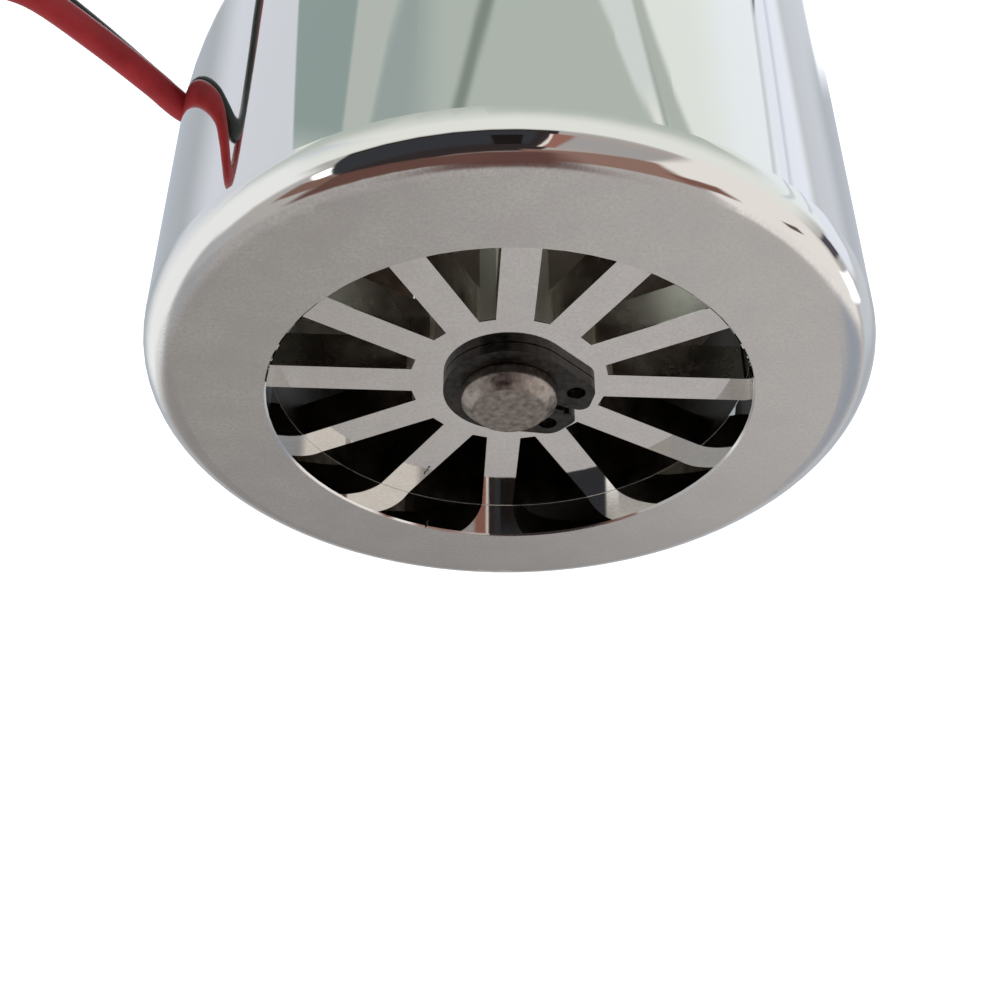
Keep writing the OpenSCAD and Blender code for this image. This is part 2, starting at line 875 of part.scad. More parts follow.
// The sprung washer that preloads the front bearings
module wave_washer() {
    lift = wave_h - 0.5;
    waves = 3;
    steps = 36;
    points = [
        for (i = [0:steps - 1])
            let(
                a = i * 360 / steps,
                z = zs(collar_from + wave_h / 2) + lift / 2 * sin(waves * a),
                inner = (bearing_r - 2) * [cos(a), sin(a)],
                outer = (bearing_r - 0.2) * [cos(a), sin(a)]
            )
            each [
                [inner.x, inner.y, z - 0.24], [outer.x, outer.y, z - 0.24],
                [outer.x, outer.y, z + 0.24], [inner.x, inner.y, z + 0.24],
            ]
    ];
    faces = [
        for (i = [0:steps - 1]) for (k = [0:3])
            let(j = (i + 1) % steps, next = (k + 1) % 4)
            [4 * i + k, 4 * i + next, 4 * j + next, 4 * j + k]
    ];
    color("lightsteelblue") polyhedron(points = points, faces = faces, convexity = 4);
}

module nose_cap() {
    color("gainsboro")
        difference() {
            union() {
                slab(nose_to + seat, cap_to - 0.8, nose_r);
                taper(cap_to - 0.8, cap_to, nose_r, nose_r - 0.8);
                slab(collar_from + wave_h + seat, nose_to + 1, bearing_r - 0.1);
            }
            slab(collar_from, cap_to + 1, collar_r + 0.5);
            for (k = [0:cap_screw_n - 1])
                rotate([0, 0, 45 + k * 360 / cap_screw_n])
                    translate([cap_screw_r, 0, 0]) {
                        slab(nose_to - 1, cap_to + 1, cap_screw_shank_r + 0.1);
                        taper(
                            cap_to - cap_screw_head_t - cap_screw_sunk, cap_to + 0.1,
                            cap_screw_shank_r + 0.1, cap_screw_head_r + 0.4
                        );
                    }
        }
}

module nose_cap_screws() {
    color("darkgray")
        for (k = [0:cap_screw_n - 1])
            rotate([0, 0, 45 + k * 360 / cap_screw_n])
                translate([cap_screw_r, 0, 0])
                    difference() {
                        union() {
                            slab(nose_to - cap_screw_len, cap_to - cap_screw_sunk, cap_screw_shank_r);
                            taper(
                                cap_to - cap_screw_head_t - cap_screw_sunk, cap_to - cap_screw_sunk,
                                cap_screw_shank_r, cap_screw_head_r
                            );
                        }
                        slab(cap_to - 0.8, cap_to, 0.65, $fn = 6);
                    }
}

// The one-piece shaft, from the rear journal to the collet's taper
module shaft() {
    groove_at = bearing1_from - 1.1;
    color("lightgray")
        difference() {
            union() {
                taper(shaft_end_in, shaft_end_in + shaft_bevel, journal_r - shaft_bevel, journal_r);
                slab(shaft_end_in + shaft_bevel, washer_to, journal_r);
                slab(washer_to, comm_hub_to, comm_seat_r);
                slab(comm_hub_to, fan_to + 2, core_seat_r);
                slab(fan_to + 2, collar_from, bearing_seat_r - seat / 2);
                slab(collar_from, collar_to, collar_r);
                slab(collar_to, collar_to + 1.5, thread_r - 0.8);
                slab(collar_to + 1.5, thread_to - 0.5, thread_r - run);
                taper(thread_to - 0.5, thread_to, thread_r - run, thread_r - run - 0.5);
            }
            tube(clip_from - face_play, clip_to + face_play, journal_r + 1, journal_r - clip_groove);
            tube(groove_at, groove_at + 1.1, bearing_seat_r + 1, bearing_seat_r - 0.5);
            taper(
                collet_from - 0.5, thread_to + 0.01,
                taper_in_r + run - tan(taper_angle) * 0.5,
                collet_r + run - tan(taper_angle) * (taper_to - thread_to)
            );
            slab(collet_from - shank_room, collet_from, taper_in_r - 0.4);
        }
}

module rear_circlip() {
    color("dimgray")
        translate([0, 0, zs(clip_to)])
            rotate([0, 0, clip_turn])
                linear_extrude(clip_t)
                    retaining_ring(
                        journal_r - clip_groove + seat, clip_w, lug_r, 0.7,
                        journal_r + 1.4, lug_turn, 0.55
                    );
}

module front_circlip() {
    color("dimgray")
        translate([0, 0, zs(bearing1_from - 0.05)])
            linear_extrude(1)
                retaining_ring(
                    bearing_seat_r - 0.5 + seat, 1.8, 1.3, 0.85,
                    bearing_seat_r + 1.9, 17, 1.2
                );
}

module thrust_washer() {
    color("wheat") tube(washer_from, washer_to, bush_d / 2 - 0.4, journal_r + seat);
}

module commutator_hub() {
    color("saddlebrown") tube(comm_from - 1, comm_hub_to, comm_r - 3, comm_seat_r + seat);
}

module commutator_bars() {
    step = 360 / bar_n;
    color("chocolate")
        for (k = [0:bar_n - 1]) {
            arc_tube(comm_from, riser_to, comm_r, comm_r - 3 + seat, k * step + bar_gap / 2, step - bar_gap);
            arc_tube(comm_to, riser_to, riser_r, comm_r - 1, k * step + bar_gap, step - 2 * bar_gap);
        }
}

// The outline of one winding slot, which opens on the X axis; inset leaves room round the wire
module slot_outline(inset = 0) {
    half_step = 180 / slot_n;
    wide = slot_out_r * tan(half_step) - tooth_w / 2 - inset;
    narrow = slot_in_r * tan(half_step) - tooth_w / 2 - inset;
    polygon([
        [slot_in_r + inset, -narrow], [slot_out_r - inset, -wide],
        [slot_out_r - inset, wide], [slot_in_r + inset, narrow],
    ]);
}

module core_outline() {
    difference() {
        circle(r = core_r);
        circle(r = core_seat_r + seat);
        for (k = [0:slot_n - 1])
            rotate(k * 360 / slot_n) {
                slot_outline();
                translate([slot_out_r - 1, -0.9]) square([4, 1.8]);
            }
    }
}

module armature_core() {
    color("slategray") translate([0, 0, zs(core_to)]) linear_extrude(core_len) core_outline();
}

// Thin insulating plates, of the core's own outline, on both ends of the core
module end_insulators() {
    color("tan")
        for (to = [core_from, core_to + insulator_t])
            translate([0, 0, zs(to)]) linear_extrude(insulator_t) core_outline();
}

// The section of a wound head, with bevelled corners
module head_outline() {
    half = head_len / 2 - face_play;
    bevel = 1.2;
    polygon([
        [head_in_r + bevel, -half], [head_out_r - bevel, -half],
        [head_out_r, bevel - half], [head_out_r, half - bevel],
        [head_out_r - bevel, half], [head_in_r + bevel, half],
        [head_in_r, half - bevel], [head_in_r, bevel - half],
    ]);
}

// The copper winding: a bundle in each slot, a wound head at each end and a tail to each bar
module windings() {
    color("sienna") {
        for (k = [0:bar_n - 1])
            rotate([0, 0, (k + 0.5) * 360 / bar_n])
                translate([riser_r - 0.55, 0, 0])
                    slab(riser_to + seat, core_from - head_len / 2, 0.45);
        translate([0, 0, zs(core_to + insulator_t + 1)])
            linear_extrude(core_len + 2 * insulator_t + 2)
                for (k = [0:slot_n - 1])
                    rotate(k * 360 / slot_n)
                        slot_outline(0.3);
        for (middle = [core_from - insulator_t - head_len / 2, core_to + insulator_t + head_len / 2])
            translate([0, 0, zs(middle)])
                rotate_extrude()
                    head_outline();
    }
}

// The cooling fan: a hub, a disc and curved blades
module fan() {
    blade_r = fan_r * 0.75;
    color("darkslategray")
        difference() {
            union() {
                slab(fan_from, fan_to, core_seat_r + 3);
                slab(fan_from, fan_from + fan_disc_t, fan_r);
                translate([0, 0, zs(fan_to - 1)])
                    linear_extrude(fan_h - 1)
                        for (k = [0:blade_n - 1])
                            rotate(k * 360 / blade_n)
                                intersection() {
                                    translate([fan_r / 2, -blade_r * 0.85])
                                        difference() {
                                            circle(r = blade_r + blade_t);
                                            circle(r = blade_r);
                                        }
                                    difference() {
                                        circle(r = fan_r - 0.2);
                                        circle(r = core_seat_r + 2.5);
                                    }
                                    translate([0, -4]) square([fan_r, fan_r + 4]);
                                }
            }
            slab(fan_from - 1, fan_to + 1, core_seat_r + seat);
        }
}

// The slit collet that grips the tool's shank
module collet() {
    color("lightgray")
        difference() {
            union() {
                taper(collet_from, taper_to, taper_in_r, collet_r);
                slab(taper_to, groove_from, collet_r);
                slab(groove_from - 0.1, groove_to + 0.1, groove_r);
                slab(groove_to, collet_to - 0.8, head_r);
                taper(collet_to - 0.8, collet_to, head_r, head_r - 1.2);
            }
            slab(collet_from - 1, collet_to + 1, collet_bore / 2);
            for (k = [0:slit_n - 1])
                rotate([0, 0, slit_turn + k * 360 / slit_n]) {
                    radial_block(0, collet_r + 1, slit_w, collet_from + 3, collet_to + 1);
                    radial_block(0, collet_r + 1, slit_w, collet_from - 1, collet_to - 4, 180 / slit_n);
                }
        }
}

// The hexagonal nut that draws the collet into the taper
module collet_nut() {
    corner_r = nut_af / 2 / cos(30);
    color("lightgray")
        difference() {
            intersection() {
                slab(nut_from, nut_to, corner_r, $fn = 6);
                union() {
                    slab(nut_from, nut_to - 2.6, corner_r + 1);
                    taper(nut_to - 2.6, nut_to, corner_r + 0.2, corner_r - 2);
                }
                union() {
                    taper(nut_from, nut_from + 1, corner_r - 0.8, corner_r + 0.2);
                    slab(nut_from + 1, nut_to, corner_r + 1);
                }
            }
            slab(nut_from - 1, groove_from + 0.1, thread_r);
            slab(nut_from, nut_to + 1, groove_r + 0.15);
            slab(groove_to - 0.1, nut_to + 1, head_r + 0.15);
            taper(nut_from - 0.01, nut_from + 0.8, thread_r + 0.8, thread_r);
        }
}

housing();
rear_spider();
rear_bush();
brush_ring();
brush_holders();
holder_rivets();
brush_spring_a();
brush_spring_b();
brush_a();
brush_b();
brush_links();
lead_terminals();
lead_grommet();
lead_red();
lead_black();
lead_tip_red();
lead_tip_black();
magnet_left();
magnet_right();
magnet_clips();
front_bell();
bell_screws();
bearing_outer_rings();
bearing_shields();
outer_spacer();
wave_washer();
nose_cap();
nose_cap_screws();
shaft();
rear_circlip();
thrust_washer();
commutator_hub();
commutator_bars();
end_insulators();
armature_core();
windings();
fan();
front_circlip();
bearing_inner_rings();
inner_spacer();
bearing_balls();
bearing_cages();
collet();
collet_nut();
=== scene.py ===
"""Looks of an air-cooled spindle motor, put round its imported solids."""

import json
import math

import bmesh
import bpy
from mathutils import Matrix, Vector


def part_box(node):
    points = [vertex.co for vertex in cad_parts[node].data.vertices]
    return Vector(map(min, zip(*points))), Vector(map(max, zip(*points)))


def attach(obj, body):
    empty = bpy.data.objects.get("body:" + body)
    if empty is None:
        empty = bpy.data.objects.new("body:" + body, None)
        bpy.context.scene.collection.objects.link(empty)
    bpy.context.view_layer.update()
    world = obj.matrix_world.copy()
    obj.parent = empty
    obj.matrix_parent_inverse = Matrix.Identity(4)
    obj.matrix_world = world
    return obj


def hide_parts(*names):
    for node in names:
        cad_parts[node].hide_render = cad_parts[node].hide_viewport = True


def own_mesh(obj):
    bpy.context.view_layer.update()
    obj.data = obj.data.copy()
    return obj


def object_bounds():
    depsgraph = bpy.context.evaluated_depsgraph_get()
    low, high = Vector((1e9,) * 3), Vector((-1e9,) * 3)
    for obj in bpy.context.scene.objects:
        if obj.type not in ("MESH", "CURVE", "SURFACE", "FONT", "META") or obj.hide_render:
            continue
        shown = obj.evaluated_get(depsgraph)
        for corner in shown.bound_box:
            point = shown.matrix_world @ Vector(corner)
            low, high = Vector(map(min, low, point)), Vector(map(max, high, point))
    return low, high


bl_info = {
    "name": "Spindle Motor Looks",
    "version": (1, 0, 0),
    "blender": (4, 5, 0),
    "location": "3D View > Sidebar > Spindle",
    "description": "Finishes, leads and studio for a brushed, air-cooled spindle motor",
    "category": "Object",
}

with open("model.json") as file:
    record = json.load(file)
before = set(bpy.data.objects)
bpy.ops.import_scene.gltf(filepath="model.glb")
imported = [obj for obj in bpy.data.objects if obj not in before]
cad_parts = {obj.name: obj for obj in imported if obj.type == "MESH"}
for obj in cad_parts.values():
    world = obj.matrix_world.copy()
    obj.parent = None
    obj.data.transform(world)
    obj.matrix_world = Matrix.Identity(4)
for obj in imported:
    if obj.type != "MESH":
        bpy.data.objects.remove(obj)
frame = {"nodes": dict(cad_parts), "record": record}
cad_low, cad_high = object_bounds()

MM = 0.001

# Heights that part the finishes, in millimetres: within the rim's rounding, just under the rear face; just
# above the lip's foot; the spider's face; just under that face; and just under the foot of its spokes
FACE_FROM = 91.3
LIP_FOOT = 89.08
SPIDER_FACE = 89.05
UNDER_FACE = SPIDER_FACE - 0.08
SPOKE_FOOT = SPIDER_FACE - 3.1

# Distances from the axis that part them, in millimetres: within the bevel of the rear opening, both ends of
# the fade at the satin's outer edge, within the body's wall, past the hub, inside the opening, past it all
OPENING_REACH = 17.45
SATIN_FADE = (24.3, 24.1)
WALL_REACH = 24
HUB_REACH = 7.6
SPOKE_REACH = 17.2
WHOLE_REACH = 30

# Share of the squared X that the satin's outer edge leaves out, which makes it a slight oval
SATIN_OVAL = 0.06

# Places that the leads' routes repeat from the part's source, in millimetres.
# The first points lie inside the body, up to the terminals.
RED_ROUTE = [
    (19.1, -0.9, 61), (23, -0.9, 61), (26, -0.9, 61), (27.2, -1.4, 61), (28.1, -2.5, 61),
    (29.2, -4, 60.9), (32.6, -7.9, 60.5), (36.3, -11.6, 60.1), (39, -13.3, 60.3), (42, -14.6, 60.4),
    (44.8, -15.7, 59.9), (47.2, -16.5, 57.9), (48.6, -16.9, 54.4), (49.1, -17.2, 48.6),
    (49.2, -17.4, 42.6), (49.2, -17.5, 37.6), (49.2, -17.5, 31.4), (49.2, -17.6, 25.1),
    (49.2, -17.7, 18.9), (49.2, -17.8, 12.6), (49.1, -18, 6.4), (49.1, -18.1, 0.2), (49.1, -18.3, -6.1),
    (49, -18.5, -12.3), (49, -18.8, -18.5), (49, -19, -24.8), (48.9, -19.2, -31), (48.9, -19.4, -37.3),
    (48.9, -19.7, -43.5), (48.8, -19.9, -49.7), (48.8, -20.1, -56), (48.8, -20.2, -62.2),
    (48.7, -20.4, -68.4), (48.7, -20.5, -74.7), (48.7, -20.6, -80.9), (48.7, -20.7, -87.2),
    (48.7, -20.7, -93.4),
]
BLACK_ROUTE = [
    (19.1, 0.9, 59.2), (23, 0.9, 59.2), (26.2, 0.9, 59.2), (27.6, 0.4, 59.2), (28.7, -0.8, 59.1),
    (29.9, -2.5, 59), (33.1, -6.5, 58.5), (36.4, -10.2, 58), (39.6, -13, 57.4), (42.6, -15.3, 56.3),
    (44.9, -16.8, 54.1), (46.2, -17.4, 50.6), (46.7, -17.4, 46.4), (46.7, -17.3, 41.2), (46.6, -17, 35.2),
    (46.6, -17, 29.2), (46.5, -16.9, 23.2), (46.3, -16.9, 17.2), (46.1, -16.8, 11.2), (45.9, -16.6, 5.2),
    (45.6, -16.5, -0.8), (45.3, -16.4, -6.8), (45, -16.2, -12.8), (44.7, -16, -18.8),
    (44.3, -15.8, -24.8), (44, -15.7, -30.8), (43.6, -15.5, -36.8), (43.3, -15.3, -42.8),
    (43, -15.1, -48.8), (42.7, -15, -54.8), (42.4, -14.9, -60.8), (42.2, -14.7, -66.8),
    (42, -14.6, -72.8), (41.8, -14.6, -78.8), (41.7, -14.5, -84.8), (41.7, -14.5, -90.8),
]

# A small burr on the bevel of the rear opening, in millimetres
BURR_ROUTE = [(7.1, 16.15, 91.93), (7.0, 15.9, 91.94), (6.85, 15.7, 91.9), (6.9, 15.45, 91.8),
              (6.75, 15.25, 91.7)]

# The camera leans over the rear end with its own top turned down, as the photograph was taken.
CAMERA_PLACE = (0.0, -0.0735185, 0.1439501)
CAMERA_LOOKS = (0.0079928, 0.8536428, -0.5207975)
CAMERA_RIGHT = (-0.9999347, 0.0110780, 0.0028118)
CAMERA_LENS = 44.845

# How many of the leads' first points lie inside the body, up to the exit
INSIDE_POINTS = 3

# Colour of polished chrome under plain light
CHROME_TONE = "#D9D6D0"

# What polished metal mirrors: the studio's soft areas, by azimuth and elevation in degrees.
# Each has its name, its left edge, lean and softness, its right edge, lean and softness, its lowest and
# highest elevation with the softness of each, and the colour and level that chrome shows there.
# A lean is the change of an edge's azimuth for each degree of elevation, with the edge given at FOOT_LEVEL
# for an area that starts below LOWEST, and at the area's middle for any other.
LOWEST = -90
FOOT_LEVEL = -50
MIRRORED = [
    ("table_left", (60, 0, 30), (-17, -0.85, 4), (-95, 10), (-8, 30), "#C9CCD1", 1.0),
    ("table_far_left", (100, 0, 40), (24, 0, 22), (-95, 10), (-8, 30), "#9FA3A6", 1.0),
    ("pale_left", (48, 0, 14), (-36, 0, 12), (-18, 34), (29, 8), "#E4E5E3", 1.0),
    ("window_left", (150, 0, 5), (45, 7.9, 3), (-95, 3), (-46, 2), "#FFFFFF", 1.4),
    ("green_curtain", (-16.4, -0.85, 1.2), (-38.8, 0.3, 2), (-95, 10), (-46, 3.5), "#8A9894", 1.0),
    ("curtain_foot", (-27, 1.1, 4), (-41, 0, 4), (-45.5, 3), (-24, 14), "#CDD2CD", 1.0),
    ("curtain_strip", (-38, 0.3, 2), (-48.5, 1.2, 3), (-95, 10), (-40, 9), "#AFB5AE", 1.0),
    ("bench", (-48, 1.2, 4), (-131, -2.6, 3), (-95, 10), (-24, 40), "#ABB3AB", 1.0),
    ("bench_blue", (-49, 1.2, 4), (-64, 0, 16), (-95, 10), (-46, 5), "#97A29F", 0.95),
    ("bench_streak", (-75.5, 2, 3), (-79.5, 2, 3), (-95, 5), (-45.5, 4), "#7C867D", 1.0),
    ("pale_band", (-129.3, -2.6, 2), (-137.5, -1.3, 1.5), (-95, 10), (-48.6, 2), "#CBD1CC", 1.0),
    ("band_edge", (-137, -1.3, 2), (-142, -1.8, 3), (-95, 10), (-44, 8), "#98A29B", 1.0),
    ("bench_right", (-140, -1, 3), (-172, 0, 14), (-95, 10), (-34, 12), "#DADFD8", 1.0),
    ("band_wedge", (-138, -1.6, 2), (-143, -2.2, 3), (-95, 10), (-42, 8), "#A9B0A8", 1.0),
    ("cloth_right", (-162, 0, 20), (-200, 0, 10), (-95, 10), (-10, 12), "#E1E6E7", 1.0),
    ("cloth_lilac", (-184, 0, 3), (-199, 0, 8), (-95, 10), (-4, 12), "#DCE0E8", 1.0),
    ("cloth_fold", (-182.5, 0.4, 1), (-184.5, 0.4, 2), (-95, 10), (-8, 10), "#C9CED0", 0.95),
    ("cloth_fold_two", (-190, 0.4, 0.8), (-191.8, 0.4, 2), (-95, 10), (-20, 8), "#CBCFD8", 0.95),
    ("far_right", (-201, 0, 8), (-250, 0, 20), (-95, 10), (6, 12), "#BDC0C4", 1.0),
    ("far_right_edge", (-219, 0, 14), (-262, 0, 10), (-49, 4), (2, 14), "#A4A7AA", 1.0),
    ("window_right", (-226, 0, 5), (-262, 0, 10), (-95, 3), (-49, 4), "#FFFFFF", 1.4),
    ("dark_mark", (-181.6, 1.5, 0.8), (-183, 1.5, 0.8), (-95, 1), (-51.6, 1), "#5A625E", 0.9),
    ("wall_brown_left", (-14, 0, 4), (-28, 0, 6), (43, 3), (54, 6), "#8C7368", 0.9),
    ("wall_right", (-104, 0, 2), (-140, 0, 6), (20, 3), (60, 5), "#A79E99", 0.95),
    ("wall_right_grey", (-107, 0, 2), (-137, 0, 6), (28, 4), (54, 4), "#A09D9B", 0.95),
    ("cream_right", (222, 0, 6), (146, 0, 10), (10, 8), (58, 6), "#E0DBD5", 1.0),
    ("lamp", (-30, 0.5, 2), (-40, 0.5, 2), (32, 3), (44, 3), "#FFFFFF", 1.6),
    ("board", (-34, 0.55, 2), (-104, 0, 1), (17.5, 1.5), (68, 2), "#332C2C", 0.9),
    ("board_low", (-38, 0.5, 2), (-98, 0, 1), (21, 2), (50, 10), "#36373B", 0.9),
    ("board_slot", (-85, 0, 1), (-95, 0, 1), (30, 1), (52, 1), "#231F1E", 0.7),
    ("board_side", (-101, 0, 1), (-108, 0, 2), (25, 2), (57, 2), "#96695E", 0.9),
    ("board_edge", (-101, 0, 0.6), (-102.3, 0, 0.6), (26, 2), (56, 2), "#D9D3CE", 1.0),
    ("back_left", (60, 0, 12), (0, 0, 12), (24, 8), (44, 8), "#A6A6A6", 0.97),
    ("back_right", (146, 0, 10), (112, 0, 10), (14, 10), (34, 6), "#8F949C", 0.95),
    ("back_dim", (84, 0, 30), (46, 0, 20), (12, 12), (56, 12), "#98948F", 1.0),
    ("back_low", (104, 0, 30), (52, 0, 30), (4, 10), (31, 8), "#8B8885", 1.0),
    ("right_mark", (181, 0, 1), (177.5, 0, 1), (25, 3), (34, 3), "#6B5B56", 0.8),
    ("right_mark_low", (178, 0, 2), (170, 0, 2), (-5, 3), (7, 3), "#57525A", 0.8),
    ("right_lamp", (165, 0, 2), (155, 0, 2), (-2, 4), (14, 4), "#FFFFFF", 1.3),
]

# Soft areas of the ceiling, by how far a direction points to +X and +Y where straight up is 0, 0:
# name, x from and to, y from and to, softness, colour and level
CEILING = [
    ("warm_right", (-0.52, -0.05), (-0.44, 0.0), 0.06, "#8C6E64", 0.95),
    ("warm_tail", (-0.66, -0.47), (-0.2, -0.04), 0.06, "#7A574D", 0.95),
    ("warm_middle", (-0.16, 0.16), (-0.37, 0.33), 0.14, "#5E423D", 0.95),
    ("warm_left", (0.05, 0.58), (-0.32, 0.04), 0.08, "#62463F", 0.95),
    ("warm_far_left", (0.56, 0.74), (-0.36, -0.16), 0.05, "#7A5E54", 0.95),
]

# What the room shows where no area covers it: the table's glow, the walls over it, and where a soft step
# between the two lies, as elevation and softness in degrees
TABLE_GLOW = "#DCDED7"
WALL_TONE = "#A9A5A1"
WALL_FOOT = (16, 5)

# Where the room behind the part and the ceiling start: edge and softness, by direction to +Y and in degrees
ROOM_FROM = (-0.05, 0.3)
CEILING_FROM = (38, 6)

# How much the floor glows towards the camera, so that it shows as white as the paper behind it
FLOOR_GLOW = 0.42

# The key light's spread, and its turns about X, Y and Z, in degrees
KEY_SPREAD = 35
KEY_TURNS = (-28, 14, 0)


def linear(code, level=1.0):
    """A colour written as sRGB hex, as the linear numbers that a shader takes, with full alpha."""
    parts = [int(code[i:i + 2], 16) / 255 for i in (1, 3, 5)]
    return [*(level * (c / 12.92 if c <= 0.04045 else ((c + 0.055) / 1.055) ** 2.4) for c in parts), 1.0]


def add(tree, kind, inputs=None, **settings):
    """Add one node with its settings; an input is a plain value or the output that feeds it."""
    made = tree.nodes.new("ShaderNode" + kind)
    for name, value in settings.items():
        setattr(made, name, value)
    for socket, source in (inputs or {}).items():
        if isinstance(source, bpy.types.NodeSocket):
            tree.links.new(source, made.inputs[socket])
        else:
            made.inputs[socket].default_value = source
    return made.outputs


def feed(tree, shader, **sources):
    """Link outputs to the shader's sockets; underscores stand for spaces."""
    for name, source in sources.items():
        tree.links.new(source, shader.inputs[name.replace("_", " ")])


def start_material(name, colour, metallic, roughness):
    """A new material with its tree, its shader with plain values, and the place in the part."""
    material = bpy.data.materials.new(name)
    material.use_nodes = True
    tree = material.node_tree
    shader = tree.nodes["Principled BSDF"]
    shader.inputs["Base Color"].default_value = linear(colour)
    shader.inputs["Metallic"].default_value = metallic
    shader.inputs["Roughness"].default_value = roughness
    where = add(tree, "TexCoord")["Object"]
    return material, tree, shader, where


def swayed(noise, low, high):
    """Inputs of a range that stretch the middle of a noise from low to high."""
    return {"Value": noise, "From Min": 0.3, "From Max": 0.7, "To Min": low, "To Max": high}


def ramp(place, start, end, top=1.0):
    """Inputs of a range that rises from 0 at a start to top at an end, both in millimetres."""
    return {"Value": place, "From Min": start * MM, "From Max": end * MM, "To Max": top}


def soft_edge(value, edge, softness):
    """Inputs of a range that is 0 below an edge and 1 above it."""
    return {"Value": value, "From Min": edge - softness / 2, "From Max": edge + softness / 2}


def overlap(tree, mask, *others):
    """The product of masks: 1 only where all of them are."""
    for other in others:
        mask = add(tree, "Math", {0: mask, 1: other}, operation="MULTIPLY")[0]
    return mask


def lay_over(tree, under, *layers, kind="RGBA"):
    """Colours, or numbers of the kind FLOAT, laid over a first one; a layer has its mask and its value."""
    first, second, result = (6, 7, 2) if kind == "RGBA" else (2, 3, 0)
    for mask, over in layers:
        under = add(tree, "Mix", {0: mask, first: under, second: over}, data_type=kind)[result]
    return under


def grain(tree, where, size, detail=3.0, stretch=(1, 1, 1)):
    """Cloudy noise whose blotches are about size millimetres across."""
    scaled = add(tree, "Mapping", {"Vector": where, "Scale": stretch})[0]
    return add(tree, "TexNoise", {"Vector": scaled, "Scale": 1 / (size * MM), "Detail": detail,
                                  "Roughness": 0.55})["Fac"]


def mottle(tree, noise, dark, light):
    """A colour that sways from dark to light with a noise."""
    share = add(tree, "MapRange", swayed(noise, 0, 1))[0]
    return lay_over(tree, linear(dark), (share, linear(light)))


def squared_radius(tree, x, y):
    """Squared distance from the axis."""
    squares = [add(tree, "Math", {0: part, 1: part}, operation="MULTIPLY")[0] for part in (x, y)]
    return add(tree, "Math", {0: squares[0], 1: squares[1]}, operation="ADD")[0]


def turned_rings(tree, where, size, detail):
    """Noise along radius plus height, so that tool marks of a size in millimetres run round both the faces
    and the walls of a turned piece."""
    x, y, z = add(tree, "SeparateXYZ", {0: where})
    radius = add(tree, "Math", {0: squared_radius(tree, x, y)}, operation="SQRT")[0]
    along = add(tree, "Math", {0: radius, 1: z}, operation="ADD")[0]
    return add(tree, "TexNoise", {"W": along, "Scale": 1 / (size * MM), "Detail": detail},
               noise_dimensions="1D")["Fac"]


def inner_mask(tree, where, radius, top):
    """1 nearer the axis than a radius and below a height, in millimetres, and 0 elsewhere."""
    x, y, z = add(tree, "SeparateXYZ", {0: where})
    squared = squared_radius(tree, x, y)
    near = add(tree, "Math", {0: squared, 1: (radius * MM) ** 2}, operation="LESS_THAN")[0]
    low = add(tree, "Math", {0: z, 1: top * MM}, operation="LESS_THAN")[0]
    return overlap(tree, near, low)


def emboss(tree, shader, height, depth, edge=0.0):
    """Bump of a depth in millimetres, on edges rounded by edge millimetres."""
    inputs = {"Height": height, "Distance": depth * MM, "Strength": 1.0}
    if edge:
        inputs["Normal"] = add(tree, "Bevel", {"Radius": edge * MM}, samples=6)[0]
    feed(tree, shader, Normal=add(tree, "Bump", inputs)[0])


def grained(name, colour, metallic, roughness, noise, tones=None, rough=None, relief=None, depth=0.01,
            edge=0.0):
    """A finish whose colour and roughness sway with one noise; that or a finer one is its relief."""
    material, tree, shader, where = start_material(name, colour, metallic, roughness)
    sway = grain(tree, where, *noise)
    if tones:
        feed(tree, shader, Base_Color=mottle(tree, sway, *tones))
    if rough:
        feed(tree, shader, Roughness=add(tree, "MapRange", swayed(sway, *rough))[0])
    emboss(tree, shader, grain(tree, where, *relief) if relief else sway, depth, edge)
    return material


